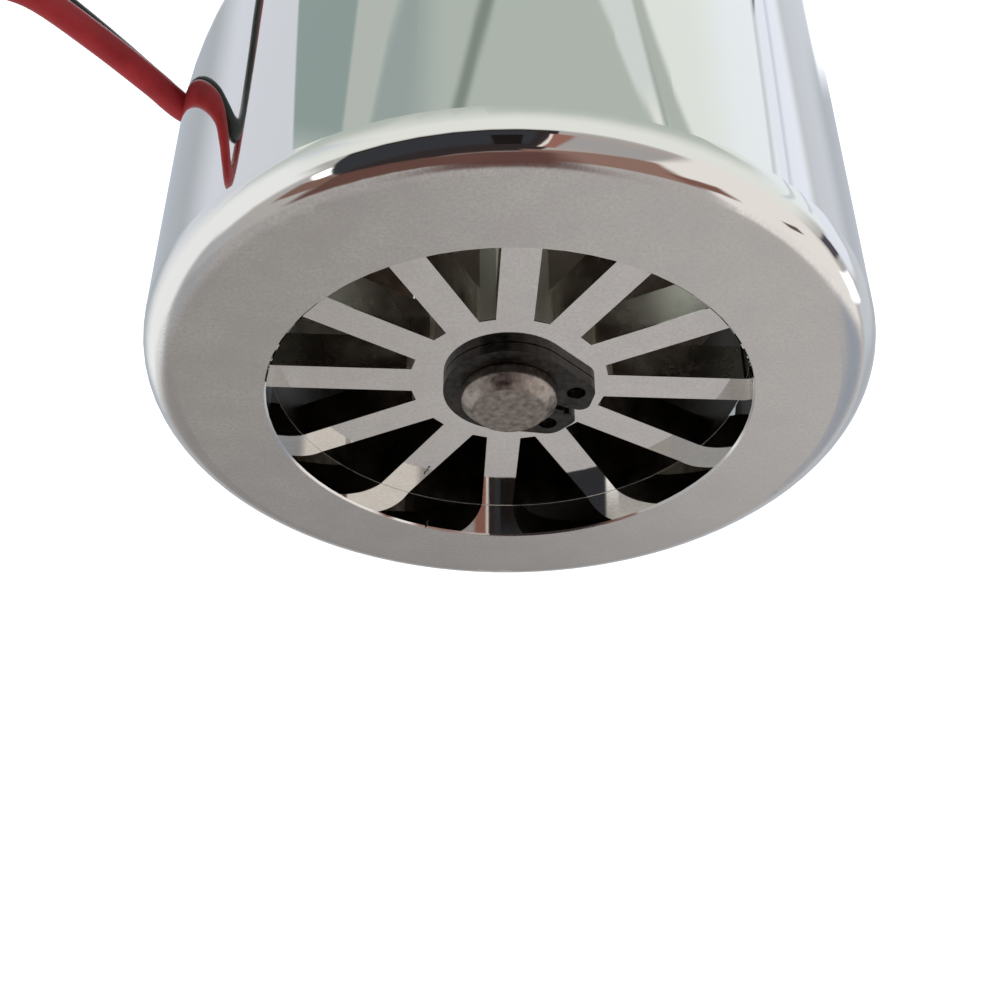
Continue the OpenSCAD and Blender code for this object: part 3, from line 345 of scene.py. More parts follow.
def chromed_steel():
    """Chrome plate on polished steel tube: a clean mirror outside with a satin rear face, and a pale, dull
    phosphate skin in its bore."""
    material, tree, shader, where = start_material("chrome_plate_on_polished_steel", CHROME_TONE, 1, 0.03)
    x, y, z = add(tree, "SeparateXYZ", {0: where})
    squared = squared_radius(tree, x, y)
    # The face inside its rounded rim is satin, from the last buffing, a little further out along X
    squared_x = add(tree, "Math", {0: x, 1: x}, operation="MULTIPLY")[0]
    left_out = add(tree, "Math", {0: squared_x, 1: SATIN_OVAL}, operation="MULTIPLY")[0]
    oval = add(tree, "Math", {0: squared, 1: left_out}, operation="SUBTRACT")[0]
    within = add(tree, "MapRange", {"Value": oval, "From Min": (SATIN_FADE[0] * MM) ** 2,
                                    "From Max": (SATIN_FADE[1] * MM) ** 2})[0]
    high = add(tree, "Math", {0: z, 1: FACE_FROM * MM}, operation="GREATER_THAN")[0]
    outside = add(tree, "Math", {0: squared, 1: (OPENING_REACH * MM) ** 2}, operation="GREATER_THAN")[0]
    face = overlap(tree, high, within, outside)
    bore = inner_mask(tree, where, WALL_REACH, LIP_FOOT)
    haze = grain(tree, where, 0.22, 4)
    hazy = add(tree, "MapRange", swayed(haze, 0, 1))[0]
    cloudy = add(tree, "MapRange", swayed(grain(tree, where, 4, 4), 0, 0.7))[0]
    # Painted light: the face is painted a little brighter towards -X, as if more light fell on that side
    side = add(tree, "MapRange", ramp(x, 6, -24, 0.45))[0]
    stains = grain(tree, where, 3, 6)
    phosphate = mottle(tree, stains, "#A8A199", "#E6E0D8")
    feed(tree, shader,
         Base_Color=lay_over(tree, linear(CHROME_TONE),
                             (overlap(tree, face, hazy), linear("#C6C2BD")),
                             (overlap(tree, face, cloudy), linear("#C3BFBB")),
                             # Painted light: the face brighter towards -X
                             (overlap(tree, face, side), linear("#F0ECE6")),
                             (bore, phosphate)),
         Metallic=lay_over(tree, 1.0, (bore, 0.15), kind="FLOAT"),
         Roughness=lay_over(tree, 0.03,
                            (face, add(tree, "MapRange", swayed(haze, 0.12, 0.2))[0]),
                            (bore, add(tree, "MapRange", swayed(stains, 0.4, 0.55))[0]), kind="FLOAT"))
    dull = add(tree, "Math", {0: face, 1: bore}, operation="MAXIMUM")[0]
    emboss(tree, shader, overlap(tree, dull, haze), 0.003)
    return material


def polished_casting():
    """Zinc casting, plated: its face is buffed to a hazy mirror, and below the face it is dark, dull and
    blotchy.
    On the -Y side the walls carry painted light: the smooth hub wall is painted an even bright cream, a
    painted reflection of window light, and the spoke walls are painted lighter towards -X."""
    material, tree, shader, where = start_material("plated_zinc_casting", "#D6D2CC", 1, 0.05)
    x, y, z = add(tree, "SeparateXYZ", {0: where})
    clouds = grain(tree, where, 0.25, 4)
    broad = grain(tree, where, 2.5, 5)
    below = inner_mask(tree, where, WHOLE_REACH, UNDER_FACE)
    # Painted light: the walls of the hub and of the spokes are painted brighter on the -Y side, as if lit
    # there
    painted_lit_side = add(tree, "MapRange", ramp(y, 5, 2))[0]
    painted_lit_hub = overlap(tree, painted_lit_side, inner_mask(tree, where, HUB_REACH, UNDER_FACE))
    at_spokes = add(tree, "Math", {0: z, 1: SPOKE_FOOT * MM}, operation="GREATER_THAN")[0]
    painted_lit_spokes = overlap(tree, at_spokes, overlap(tree, painted_lit_side, inner_mask(tree, where, SPOKE_REACH, UNDER_FACE)))
    # Painted light: the spoke walls are painted lighter towards -X, as if lit from that side, with blotches
    # of the broad noise mixed in
    painted_lit_side_and_blotches = add(tree, "Math", {0: add(tree, "MapRange", ramp(x, 12, -12, 0.6))[0],
                              1: add(tree, "MapRange", swayed(broad, 0, 0.4))[0]}, operation="ADD")[0]
    feed(tree, shader,
         Base_Color=lay_over(tree, mottle(tree, clouds, "#D5D1CC", "#E6E2DD"),
                             (add(tree, "MapRange", swayed(broad, 0, 0.5))[0], linear("#CFCBC6")),
                             (below, mottle(tree, broad, "#2A2723", "#5C564E")),
                             (painted_lit_spokes, lay_over(tree, linear("#7E766D"), (painted_lit_side_and_blotches, linear("#EBE3D8")))),
                             # Painted reflection: the hub wall in bright cream, as window light mirrored in
                             # it
                             (painted_lit_hub, linear("#F0EADF"))),
         Roughness=lay_over(tree, add(tree, "MapRange", swayed(clouds, 0.035, 0.07))[0],
                            (below, add(tree, "MapRange", swayed(broad, 0.34, 0.5))[0]),
                            (painted_lit_spokes, add(tree, "MapRange", swayed(broad, 0.2, 0.32))[0]),
                            (painted_lit_hub, 0.5), kind="FLOAT"))
    emboss(tree, shader, clouds, 0.0006)
    return material


def sintered_bronze():
    """Oil-soaked sintered bronze: brown-gold with fine dark pores."""
    return grained("sintered_bronze", "#9C7345", 1, 0.45, (0.25, 2), ("#5E4020", "#B0834F"), depth=0.02)


def phenolic_board():
    """Laminated phenolic board, punched: brown, satin, with a faint paper weave."""
    return grained("punched_phenolic_board", "#8A5A33", 0, 0.42, (0.6, 4, (1, 0.3, 1)),
                   ("#74481F", "#96653B"))


def stamped_brass():
    """Brass strip, stamped and folded: yellow with brown tarnish and fine roll lines."""
    return grained("stamped_brass", "#C9A259", 1, 0.3, (1.5, 4), ("#A37B3A", "#D6B36B"), (0.24, 0.4),
                   relief=(0.15, 2, (1, 1, 0.1)), depth=0.004, edge=0.06)


def spring_wire():
    """Drawn spring wire: dark straw-grey with fine lines along it."""
    return grained("drawn_spring_wire", "#9A9894", 1, 0.28, (0.1, 2), rough=(0.22, 0.36), depth=0.002)


def pressed_carbon():
    """Pressed carbon: black with a grey lead-pencil sheen and fine grains."""
    return grained("pressed_carbon", "#2B2B2C", 0.15, 0.5, (0.2, 3), ("#1C1C1D", "#3C3C3E"), depth=0.015)


def moulded_rubber():
    """Moulded black rubber: dull, dark grey-black with a dusty bloom."""
    return grained("moulded_black_rubber", "#1D1D1C", 0, 0.68, (2, 4), ("#161615", "#2A2A28"),
                   relief=(0.2, 2))


def silicone_insulation(name, dark, light):
    """Extruded silicone insulation: satin and smooth, a little uneven, with dust in the sheen."""
    material = grained(name, light, 0, 0.4, (2.5, 4), (dark, light), (0.34, 0.5), relief=(0.8, 3),
                       depth=0.012)
    material.node_tree.nodes["Principled BSDF"].inputs["Specular IOR Level"].default_value = 0.3
    return material


def red_silicone():
    """The insulation of the red lead: a deep, slightly dusty red."""
    return silicone_insulation("extruded_red_silicone", "#861B20", "#9C242A")


def black_silicone():
    """The insulation of the black lead: black with a faint grey-green bloom."""
    return silicone_insulation("extruded_black_silicone", "#0D100F", "#171B1A")


def tinned_strands():
    """Copper strands, tinned: bright grey with duller solder between them."""
    return grained("tinned_copper_strands", "#C4C2BD", 1, 0.32, (0.6, 3), ("#9F9B94", "#D2D0CB"),
                   (0.24, 0.44), relief=(0.3, 2))


def sintered_ferrite():
    """Ground ferrite: charcoal grey, matt, with a fine sandy grain."""
    return grained("ground_ferrite", "#3B3B3E", 0.1, 0.62, (0.3, 3), ("#2E2E31", "#4A4A4D"), depth=0.02,
                   edge=0.1)


def rolled_steel():
    """Rolled steel strip: mid grey with long faint roll lines."""
    return grained("rolled_steel_strip", "#A7A7A6", 1, 0.3, (0.4, 3, (1, 1, 0.1)), rough=(0.24, 0.38),
                   depth=0.004, edge=0.05)


def turned_aluminium():
    """Aluminium, turned in a lathe: silvery, with fine rings that spread the highlights."""
    material, tree, shader, where = start_material("turned_aluminium", "#C9CACB", 1, 0.24)
    rings = turned_rings(tree, where, 0.2, 3)
    wear = add(tree, "MapRange", swayed(grain(tree, where, 9, 4), 0, 0.5))[0]
    feed(tree, shader,
         Base_Color=lay_over(tree, mottle(tree, rings, "#BFC0C1", "#CFD0D1"), (wear, linear("#C2C3C4"))),
         Roughness=add(tree, "MapRange", swayed(rings, 0.2, 0.28))[0])
    emboss(tree, shader, rings, 0.003, 0.15)
    return material


def blackened_steel():
    """Blackened steel: dark, oily brown-black with worn corners."""
    return grained("blackened_steel", "#3A3733", 1, 0.36, (0.6, 4), ("#2B2928", "#4D4A46"), (0.28, 0.46),
                   depth=0.006, edge=0.06)


def bearing_steel():
    """Bearing steel, ground and honed: bright and even."""
    return grained("ground_bearing_steel", "#C3C4C5", 1, 0.16, (0.5, 3), rough=(0.12, 0.22), depth=0.002,
                   edge=0.08)


def ground_shaft():
    """Ground steel shaft: bright and even, but dull with blotchy oil and tarnish on its open rear end."""
    material, tree, shader, where = start_material("ground_steel_shaft", "#B9B5B0", 1, 0.3)
    height = add(tree, "SeparateXYZ", {0: where})[2]
    rear = add(tree, "MapRange", ramp(height, 84, 88))[0]
    film = grain(tree, where, 0.5, 8)
    rings = turned_rings(tree, where, 0.25, 2)
    feed(tree, shader,
         Base_Color=lay_over(tree, mottle(tree, rings, "#AFACA8", "#C2BFBB"),
                             (rear, mottle(tree, film, "#72675F", "#ADA49B"))),
         Roughness=lay_over(tree, add(tree, "MapRange", swayed(rings, 0.18, 0.26))[0],
                            (rear, add(tree, "MapRange", swayed(film, 0.26, 0.46))[0]), kind="FLOAT"))
    fine = add(tree, "Math", {0: grain(tree, where, 0.25, 3), 1: 0.5}, operation="MULTIPLY")[0]
    rough = add(tree, "Math", {0: film, 1: fine}, operation="ADD")[0]
    faint = add(tree, "Math", {0: rings, 1: 0.2}, operation="MULTIPLY")[0]
    emboss(tree, shader, lay_over(tree, faint, (rear, rough), kind="FLOAT"), 0.01, 0.3)
    return material


def pressed_fibre():
    """Pressed fibre board: tan, matt, with short fibres."""
    return grained("pressed_fibre", "#B58E5C", 0, 0.7, (0.4, 3, (1, 0.3, 1)), ("#9C7645", "#C49E6C"),
                   depth=0.02)


def moulded_phenolic():
    """Moulded phenolic compound: dark brown, satin, faintly mottled."""
    return grained("moulded_phenolic", "#4A2D1D", 0, 0.38, (0.4, 3), ("#3A2115", "#563625"), depth=0.006)


def run_copper():
    """Copper bars worn in by the brushes: red-brown with dark rings round them."""
    material, tree, shader, where = start_material("commutator_copper", "#B06A45", 1, 0.28)
    rings = turned_rings(tree, where, 0.5, 3)
    feed(tree, shader, Base_Color=mottle(tree, rings, "#6B3B26", "#C27C55"),
         Roughness=add(tree, "MapRange", swayed(rings, 0.22, 0.4))[0])
    emboss(tree, shader, rings, 0.006, 0.05)
    return material


def stacked_laminations():
    """Stacked steel sheets, ground outside: grey with fine lines across the axis."""
    material, tree, shader, where = start_material("stacked_steel_laminations", "#85858A", 1, 0.34)
    height = add(tree, "SeparateXYZ", {0: where})[2]
    # Sheets are 0.5 mm thick, with a line of 0.06 mm to each side of a joint
    sheets = add(tree, "Math", {0: height, 1: 0.25 * MM}, operation="PINGPONG")[0]
    lines = add(tree, "MapRange", ramp(sheets, 0, 0.06))[0]
    feed(tree, shader, Base_Color=lay_over(tree, linear("#3A3A3C"), (lines, linear("#8A8A8F"))))
    emboss(tree, shader, lines, 0.03)
    return material


def varnished_winding():
    """Enamelled copper wire under varnish: glossy orange-brown with the wires showing."""
    material, tree, shader, where = start_material("varnished_copper_winding", "#8A4A24", 0.3, 0.3)
    # The wire is 0.6 mm thick; its bands are drawn about twice as coarse, so that they show
    wires = add(tree, "TexWave", {"Vector": where, "Scale": 1 / (0.6 * MM) / 6.3, "Distortion": 2.5,
                                  "Detail": 2}, wave_type="BANDS", bands_direction="DIAGONAL")["Fac"]
    feed(tree, shader, Base_Color=lay_over(tree, linear("#5A2A12"), (wires, linear("#A9602F"))))
    shader.inputs["Coat Weight"].default_value = 0.6
    shader.inputs["Coat Roughness"].default_value = 0.15
    emboss(tree, shader, wires, 0.15)
    return material


def moulded_nylon():
    """Moulded black nylon: satin, faintly streaked."""
    return grained("moulded_black_nylon", "#232325", 0, 0.45, (3, 3), rough=(0.38, 0.52), relief=(0.3, 2),
                   depth=0.006, edge=0.1)


def hardened_collet():
    """Hardened and ground collet steel: bright grey with a faint straw tone."""
    return grained("hardened_collet_steel", "#B7B4AD", 1, 0.22, (2, 4), ("#AAA69D", "#C2C0BB"),
                   (0.16, 0.28), relief=(0.2, 2, (1, 1, 4)), depth=0.003, edge=0.1)


def milled_nut_steel():
    """Nut steel, turned, milled and lightly blackened: dark silver with spanner wear."""
    return grained("milled_nut_steel", "#9C9C9B", 1, 0.28, (1.5, 5), ("#858584", "#ADADAB"), (0.2, 0.36),
                   relief=(0.25, 3, (1, 1, 3)), depth=0.005, edge=0.2)


# The record's material slots, each with the function that makes its finish
FINISHES = {
    "chromed_steel": chromed_steel,
    "polished_casting": polished_casting,
    "bronze": sintered_bronze,
    "phenolic_board": phenolic_board,
    "brass": stamped_brass,
    "spring_steel": spring_wire,
    "carbon": pressed_carbon,
    "rubber_black": moulded_rubber,
    "wire_red": red_silicone,
    "wire_black": black_silicone,
    "tinned_copper": tinned_strands,
    "ferrite": sintered_ferrite,
    "strip_steel": rolled_steel,
    "turned_aluminium": turned_aluminium,
    "black_steel": blackened_steel,
    "bearing_steel": bearing_steel,
    "ground_steel": ground_shaft,
    "fibre": pressed_fibre,
    "moulding_compound": moulded_phenolic,
    "copper": run_copper,
    "laminations": stacked_laminations,
    "enamelled_wire": varnished_winding,
    "nylon_black": moulded_nylon,
    "hardened_steel": hardened_collet,
    "nut_steel": milled_nut_steel,
}
SLOT_OF_NODE = {p["node"]: p["material_slot"] for p in frame["record"]["subparts"]}
made_finishes = {}


def finish_of(slot):
    """The material of a slot, made once."""
    if slot not in made_finishes:
        made_finishes[slot] = FINISHES[slot]()
    return made_finishes[slot]


def give_finish(obj, material):
    """Put one material on an object."""
    obj.data.materials.clear()
    obj.data.materials.append(material)


def add_object(name, data):
    """A new object in the scene."""
    made = bpy.data.objects.new(name, data)
    bpy.context.scene.collection.objects.link(made)
    return made


def rounded_route(route, steps=5):
    """Points of a smooth line through a route's own points, in metres."""
    places = [Vector(p) * MM for p in route]
    ends = [2 * places[0] - places[1], *places, 2 * places[-1] - places[-2]]
    line = []
    for a, b, c, d in zip(ends, ends[1:], ends[2:], ends[3:]):
        for i in range(steps):
            t = i / steps
            line.append(0.5 * (2 * b + (c - a) * t + (2 * a - 5 * b + 4 * c - d) * t ** 2
                               + (3 * b - a - 3 * c + d) * t ** 3))
    return [*line, places[-1]]


def add_mesh(name, mesh, smooth=True):
    """A new object from a mesh in the making, which is freed."""
    data = bpy.data.meshes.new(name)
    mesh.to_mesh(data)
    mesh.free()
    if smooth:
        data.shade_smooth()
    return add_object(name, data)


def join_rings(mesh, rings):
    """Join rings of corners to a tube with flat ends."""
    for a, b in zip(rings, rings[1:]):
        for k in range(len(a)):
            after = (k + 1) % len(a)
            mesh.faces.new((a[k], a[after], b[after], b[k]))
    mesh.faces.new(list(reversed(rings[0])))
    mesh.faces.new(rings[-1])


def round_wire(name, line, radius, sides=20):
    """A closed round tube along a line of points, without twist."""
    mesh = bmesh.new()
    side = (line[1] - line[0]).orthogonal().normalized()
    rings = []
    for i, centre in enumerate(line):
        along = (line[min(i + 1, len(line) - 1)] - line[max(i - 1, 0)]).normalized()
        side = (side - side.dot(along) * along).normalized()
        up = along.cross(side)
        rings.append([mesh.verts.new(centre + radius * (math.cos(k * math.tau / sides) * side
                                                        + math.sin(k * math.tau / sides) * up))
                      for k in range(sides)])
    join_rings(mesh, rings)
    return add_mesh(name, mesh)


class StudioSettings(bpy.types.PropertyGroup):
    """Camera, floor and light."""

    lens: bpy.props.FloatProperty(
        name="Lens", description="Focal length of the camera", default=CAMERA_LENS, unit="CAMERA")
    floor_gap: bpy.props.FloatProperty(
        name="Floor gap", description="Height of the nut above the floor", default=0.002, unit="LENGTH")
    floor_radius: bpy.props.FloatProperty(
        name="Floor radius", description="Radius of the round floor", default=8.0, unit="LENGTH")
    ambient: bpy.props.FloatProperty(
        name="Ambient", description="Level of the soft light from all round", default=0.78)
    sun: bpy.props.FloatProperty(
        name="Key light", description="Strength of the soft key light", default=0.9)
    rest_of_room: bpy.props.FloatVectorProperty(
        name="Room", description="Colour that chrome shows of the room behind the part", subtype="COLOR",
        min=0, max=1, default=linear("#A8A4A0")[:3])


class LeadSettings(bpy.types.PropertyGroup):
    """Sizes of the leads."""

    diameter: bpy.props.FloatProperty(
        name="Diameter", description="Diameter over the insulation", default=0.0023, unit="LENGTH")
    strands: bpy.props.IntProperty(
        name="Strands", description="Visible strands in a bared end", default=9)


class SpringSettings(bpy.types.PropertyGroup):
    """Sizes of the brush springs."""

    wire: bpy.props.FloatProperty(
        name="Wire", description="Diameter of the spring wire", default=0.0006, unit="LENGTH")
    turns: bpy.props.IntProperty(
        name="Turns", description="Turns of each spring", default=3)


class ThreadSettings(bpy.types.PropertyGroup):
    """Sizes of the nose thread."""

    diameter: bpy.props.FloatProperty(
        name="Diameter", description="Diameter of the threaded nose", default=0.014, unit="LENGTH")
    pitch: bpy.props.FloatProperty(
        name="Pitch", description="Height of one turn", default=0.00075, unit="LENGTH")
    height: bpy.props.FloatProperty(
        name="Ridge", description="How far the ridge stands out", default=0.00014, unit="LENGTH")
    start: bpy.props.FloatProperty(
        name="Start", description="Height at which the thread starts below the collar", default=-0.0975,
        unit="LENGTH")


class SPINDLE_OT_camera(bpy.types.Operator):
    """Place the camera as the photograph was taken"""

    bl_idname = "spindle.camera"
    bl_label = "Camera"

    def execute(self, context):
        data = bpy.data.cameras.new("camera")
        data.sensor_width = 36
        data.lens = context.scene.spindle_studio.lens
        data.clip_start = 0.005
        data.clip_end = 50
        camera = add_object("camera", data)
        looks = Vector(CAMERA_LOOKS).normalized()
        right = Vector(CAMERA_RIGHT).normalized()
        up = right.cross(looks)
        turn = Matrix((right, up, -looks)).transposed().to_4x4()
        camera.matrix_world = Matrix.Translation(CAMERA_PLACE) @ turn
        context.scene.camera = camera
        return {"FINISHED"}


def twisted_end(name, node, strands):
    """A bared end: strands laid round each other along the node's own box, over a core that fills them."""
    low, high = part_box(node)
    middle = (low + high) / 2
    radius = (high.x - low.x) / 2
    strand_r = radius * 0.36
    lay_r = radius - strand_r
    core_gap = 0.1 * MM
    steps = 24
    sides = 6
    twist = math.radians(200)
    mesh = bmesh.new()
    for s in range(strands):
        rings = []
        for i in range(steps + 1):
            share = i / steps
            turn = s * math.tau / strands + twist * share
            centre = Vector((middle.x + lay_r * math.cos(turn), middle.y + lay_r * math.sin(turn),
                             high.z - share * (high.z - low.z)))
            angles = [k * math.tau / sides for k in range(sides)]
            rings.append([mesh.verts.new(centre + strand_r * Vector((math.cos(a), math.sin(a), 0)))
                          for a in angles])
        join_rings(mesh, rings)
    core = bmesh.ops.create_cone(mesh, cap_ends=True, segments=12, radius1=lay_r, radius2=lay_r,
                                 depth=high.z - low.z - 2 * core_gap)
    bmesh.ops.translate(mesh, verts=core["verts"], vec=middle)
    bmesh.ops.recalc_face_normals(mesh, faces=mesh.faces)
    return add_mesh(name, mesh)


class SPINDLE_OT_leads(bpy.types.Operator):
    """Make the red and the black lead with their bared ends"""

    bl_idname = "spindle.leads"
    bl_label = "Leads"

    def execute(self, context):
        sizes = context.scene.spindle_leads
        radius = sizes.diameter / 2
        for colour, route in (("red", RED_ROUTE), ("black", BLACK_ROUTE)):
            line = rounded_route(route[INSIDE_POINTS - 1:])
            lead = round_wire(f"lead_{colour}_wire", line, radius)
            stub = round_wire(f"lead_{colour}_stub", rounded_route(route[:INSIDE_POINTS]), radius)
            tip = twisted_end(f"lead_{colour}_strands", f"lead_tip_{colour}", sizes.strands)
            for piece in (lead, stub):
                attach(piece, "stator")
                give_finish(piece, finish_of(f"wire_{colour}"))
            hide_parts(f"lead_{colour}")
            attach(tip, "stator")
            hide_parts(f"lead_tip_{colour}")
            give_finish(tip, finish_of("tinned_copper"))
        return {"FINISHED"}


class SPINDLE_OT_springs(bpy.types.Operator):
    """Wind the brush springs along the outward slide of their brushes"""

    bl_idname = "spindle.springs"
    bl_label = "Brush springs"

    def execute(self, context):
        sizes = context.scene.spindle_springs
        joints = {joint["name"]: joint for joint in frame["record"]["behaviour"]["joints"]}
        up = Vector((0, 0, 1))
        for side in ("a", "b"):
            node = f"brush_spring_{side}"
            joint = f"brush_{side}_slide"
            out = Vector(joints[joint]["axis"]).normalized()
            low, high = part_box(node)
            middle = (low + high) / 2
            places = [v.co.dot(out) for v in frame["nodes"][node].data.vertices]
            start = min(places) + sizes.wire / 2
            length = max(places) - sizes.wire / 2 - start
            across = up.cross(out)
            radius = (high.z - low.z - sizes.wire) / 2
            steps = 28 * sizes.turns
            line = []
            for i in range(steps + 1):
                turn = i * math.tau * sizes.turns / steps
                spot = (start + length * i / steps) * out + middle.z * up
                line.append(spot + radius * (math.cos(turn) * across + math.sin(turn) * up))
            spring = round_wire(f"{node}_coil", line, sizes.wire / 2, 10)
            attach(spring, "stator")
            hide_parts(node)
            give_finish(spring, finish_of("spring_steel"))
            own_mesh(spring)
        return {"FINISHED"}


class SPINDLE_OT_nose_thread(bpy.types.Operator):
    """Wind the fine thread round the nose of the shaft, as far as the nut leaves it open"""

    bl_idname = "spindle.nose_thread"
    bl_label = "Nose thread"

    def execute(self, context):
        sizes = context.scene.spindle_thread
        _, nut_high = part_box("collet_nut")
        top = sizes.start
        bottom = nut_high.z + sizes.pitch * 0.4
        sides = 48
        steps = int((top - bottom) / sizes.pitch * sides)
        sunk = 0.04 * MM
        root = sizes.diameter / 2 - sunk
        mesh = bmesh.new()
        rows = []
        for i in range(steps + 1):
            turn = i * math.tau / sides
            middle = top - i * sizes.pitch / sides
            # The ridge grows out of the shaft at its first half turn and sinks again at its last
            grown = min(1, 2 * i / sides, 2 * (steps - i) / sides)
            crest = root + grown * (sizes.height + sunk)
            rows.append([mesh.verts.new((r * math.cos(turn), r * math.sin(turn), middle + up * sizes.pitch))
                         for r, up in ((root, 0.42), (crest, 0.06), (crest, -0.06), (root, -0.42))])
        join_rings(mesh, rows)
        thread = add_mesh("nose_thread", mesh, smooth=False)
        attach(thread, "rotor")
        give_finish(thread, finish_of("ground_steel"))
        return {"FINISHED"}


class SPINDLE_OT_lip_burr(bpy.types.Operator):
    """Leave the small burr that hangs from the bevel of the rear opening"""

    bl_idname = "spindle.lip_burr"
    bl_label = "Lip burr"

    def execute(self, context):
        burr = round_wire("lip_burr", rounded_route(BURR_ROUTE), 0.05 * MM, 8)
        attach(burr, "stator")
        give_finish(burr, finish_of("black_steel"))
        return {"FINISHED"}


class SPINDLE_OT_solids(bpy.types.Operator):
    """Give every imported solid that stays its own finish"""

    bl_idname = "spindle.solids"
    bl_label = "Solids"

    def execute(self, context):
        for name, obj in frame["nodes"].items():
            give_finish(obj, finish_of(SLOT_OF_NODE[name]))
        return {"FINISHED"}


def shown_by_chrome(colour):
    """The light that chrome shows as this linear colour."""
    return [part / tone for part, tone in zip(colour, linear(CHROME_TONE))]


def mirrored_direction(tree):
    """Azimuth and elevation, in degrees, of the direction in which a ray leaves, and its X and Y."""
    x, y, z = add(tree, "SeparateXYZ", {0: add(tree, "TexCoord")["Generated"]})
    turned = add(tree, "Math", {0: y, 1: x}, operation="ARCTAN2")[0]
    raised = add(tree, "Math", {0: z}, operation="ARCSINE")[0]
    azimuth, elevation = (add(tree, "Math", {0: angle}, operation="DEGREES")[0]
                          for angle in (turned, raised))
    return azimuth, elevation, x, y


def band_mask(tree, value, low, high):
    """1 where a value lies between two limits; each limit has its edge and its softness."""
    above, past = (add(tree, "MapRange", soft_edge(value, *limit), interpolation_type="SMOOTHSTEP")[0]
                   for limit in (low, high))
    below = add(tree, "Math", {0: 1.0, 1: past}, operation="SUBTRACT")[0]
    return overlap(tree, above, below)


def area_mask(tree, azimuth, elevation, left, right, low, high):
    """Where a soft area of the studio is seen; its left edge has the greater azimuth."""
    level = FOOT_LEVEL if low[0] < LOWEST else (low[0] + high[0]) / 2
    raised = add(tree, "Math", {0: elevation, 1: level}, operation="SUBTRACT")[0]
    centre = (left[0] + right[0]) / 2
    off = add(tree, "Math", {0: azimuth, 1: centre}, operation="SUBTRACT")[0]
    off = add(tree, "Math", {0: off, 1: 180.0, 2: -180.0}, operation="WRAP")[0]
    inside = []
    for (edge, lean, softness), sign in ((left, 1), (right, -1)):
        leaning = add(tree, "Math", {0: raised, 1: lean}, operation="MULTIPLY")[0]
        place = add(tree, "Math", {0: edge - centre, 1: leaning}, operation="ADD")[0]
        gap = add(tree, "Math", {0: place, 1: off}, operation="SUBTRACT")[0]
        gap = add(tree, "Math", {0: gap, 1: sign}, operation="MULTIPLY")[0]
        inside.append(add(tree, "MapRange", soft_edge(gap, 0, softness), interpolation_type="SMOOTHSTEP")[0])
    return overlap(tree, overlap(tree, *inside), band_mask(tree, elevation, low, high))


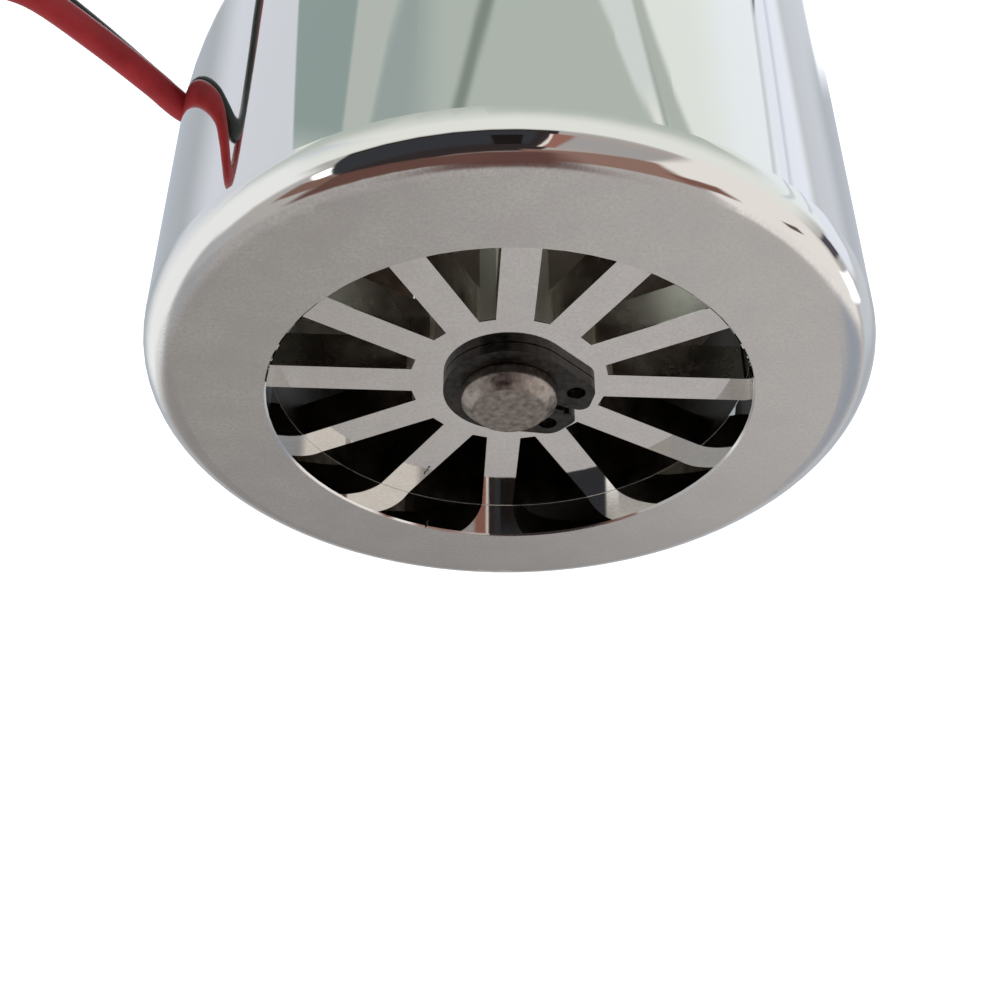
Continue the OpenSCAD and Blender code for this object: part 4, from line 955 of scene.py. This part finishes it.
class SPINDLE_OT_stage(bpy.types.Operator):
    """Make the floor, the soft light and what polished metal mirrors"""

    bl_idname = "spindle.stage"
    bl_label = "Stage"

    def execute(self, context):
        settings = context.scene.spindle_studio
        self.make_world(context, settings)
        self.make_floor(settings)
        self.make_key(settings)
        context.scene.view_settings.view_transform = "Standard"
        return {"FINISHED"}

    def make_world(self, context, settings):
        """The room: white to the camera, plain soft light on dull pieces, and soft areas in mirrors."""
        world = bpy.data.worlds.new("studio")
        context.scene.world = world
        world.use_nodes = True
        world.cycles.sampling_method = "NONE"
        tree = world.node_tree
        tree.nodes.clear()
        azimuth, elevation, across, back = mirrored_direction(tree)
        walls, behind, overhead = (
            add(tree, "MapRange", soft_edge(value, *start), interpolation_type="SMOOTHSTEP")[0]
            for value, start in ((elevation, WALL_FOOT), (back, ROOM_FROM), (elevation, CEILING_FROM)))
        layers = [(walls, shown_by_chrome(linear(WALL_TONE))),
                  (behind, shown_by_chrome((*settings.rest_of_room, 1)))]
        for _, left, right, low, high, code, level in MIRRORED:
            mask = area_mask(tree, azimuth, elevation, left, right, low, high)
            layers.append((mask, shown_by_chrome(linear(code, level))))
        for _, x_span, y_span, softness, code, level in CEILING:
            sides = [band_mask(tree, value, (span[0], softness), (span[1], softness))
                     for value, span in ((across, x_span), (back, y_span))]
            layers.append((overlap(tree, *sides, overhead), shown_by_chrome(linear(code, level))))
        mirrored = lay_over(tree, shown_by_chrome(linear(TABLE_GLOW)), *layers)
        path = add(tree, "LightPath")
        soft = (settings.ambient, settings.ambient, settings.ambient, 1)
        seen = lay_over(tree, soft, (path["Is Glossy Ray"], mirrored), (path["Is Camera Ray"], (1, 1, 1, 1)))
        background = add(tree, "Background", {"Color": seen, "Strength": 1.0})
        add(tree, "OutputWorld", {"Surface": background[0]})

    def make_floor(self, settings):
        """A round pale floor, clear from below, so that the nose can be looked at from there."""
        mesh = bmesh.new()
        bmesh.ops.create_circle(mesh, cap_ends=True, segments=96, radius=settings.floor_radius)
        floor = add_mesh("floor", mesh, smooth=False)
        floor.location.z = cad_low.z - settings.floor_gap
        floor.visible_glossy = False
        material, tree, shader, _ = start_material("pale_floor", "#EDEDEC", 0, 0.9)
        shader.inputs["Specular IOR Level"].default_value = 0.1
        shader.inputs["Emission Color"].default_value = (1, 1, 1, 1)
        to_camera = add(tree, "LightPath")["Is Camera Ray"]
        glow = add(tree, "Math", {0: to_camera, 1: FLOOR_GLOW}, operation="MULTIPLY")[0]
        feed(tree, shader, Emission_Strength=glow)
        from_below = add(tree, "NewGeometry")["Backfacing"]
        both = add(tree, "MixShader", {0: from_below, 1: shader.outputs[0],
                                       2: add(tree, "BsdfTransparent")[0]})
        feed(tree, tree.nodes["Material Output"], Surface=both[0])
        give_finish(floor, material)

    def make_key(self, settings):
        """A broad soft key light that mirrors don't show."""
        data = bpy.data.lights.new("key", "SUN")
        data.energy = settings.sun
        data.angle = math.radians(KEY_SPREAD)
        key = add_object("key", data)
        key.rotation_euler = [math.radians(turn) for turn in KEY_TURNS]
        key.visible_glossy = False


class SPINDLE_PT_panel(bpy.types.Panel):
    """Buttons for each group of pieces"""

    bl_idname = "SPINDLE_PT_panel"
    bl_label = "Spindle Motor"
    bl_space_type = "VIEW_3D"
    bl_region_type = "UI"
    bl_category = "Spindle"

    def draw(self, context):
        for step in STEPS:
            self.layout.operator(step.bl_idname)
        for place, group in SETTINGS.items():
            for name in group.__annotations__:
                self.layout.prop(getattr(context.scene, place), name)


# Each group of sizes, by its place on the scene
SETTINGS = {
    "spindle_studio": StudioSettings,
    "spindle_leads": LeadSettings,
    "spindle_springs": SpringSettings,
    "spindle_thread": ThreadSettings,
}
STEPS = (SPINDLE_OT_camera, SPINDLE_OT_leads, SPINDLE_OT_springs, SPINDLE_OT_nose_thread,
         SPINDLE_OT_lip_burr, SPINDLE_OT_solids, SPINDLE_OT_stage)
CLASSES = (*SETTINGS.values(), *STEPS, SPINDLE_PT_panel)


def register():
    """Register the classes and put the sizes on the scene."""
    for cls in CLASSES:
        bpy.utils.register_class(cls)
    for place, group in SETTINGS.items():
        setattr(bpy.types.Scene, place, bpy.props.PointerProperty(type=group))


def unregister():
    """Take the sizes off the scene and the classes away."""
    for place in SETTINGS:
        delattr(bpy.types.Scene, place)
    for cls in reversed(CLASSES):
        bpy.utils.unregister_class(cls)


def main():
    """Build the whole scene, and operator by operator."""
    register()
    bpy.ops.spindle.camera()
    bpy.ops.spindle.leads()
    bpy.ops.spindle.springs()
    bpy.ops.spindle.nose_thread()
    bpy.ops.spindle.lip_burr()
    bpy.ops.spindle.solids()
    bpy.ops.spindle.stage()


if __name__ == "__main__":
    main()
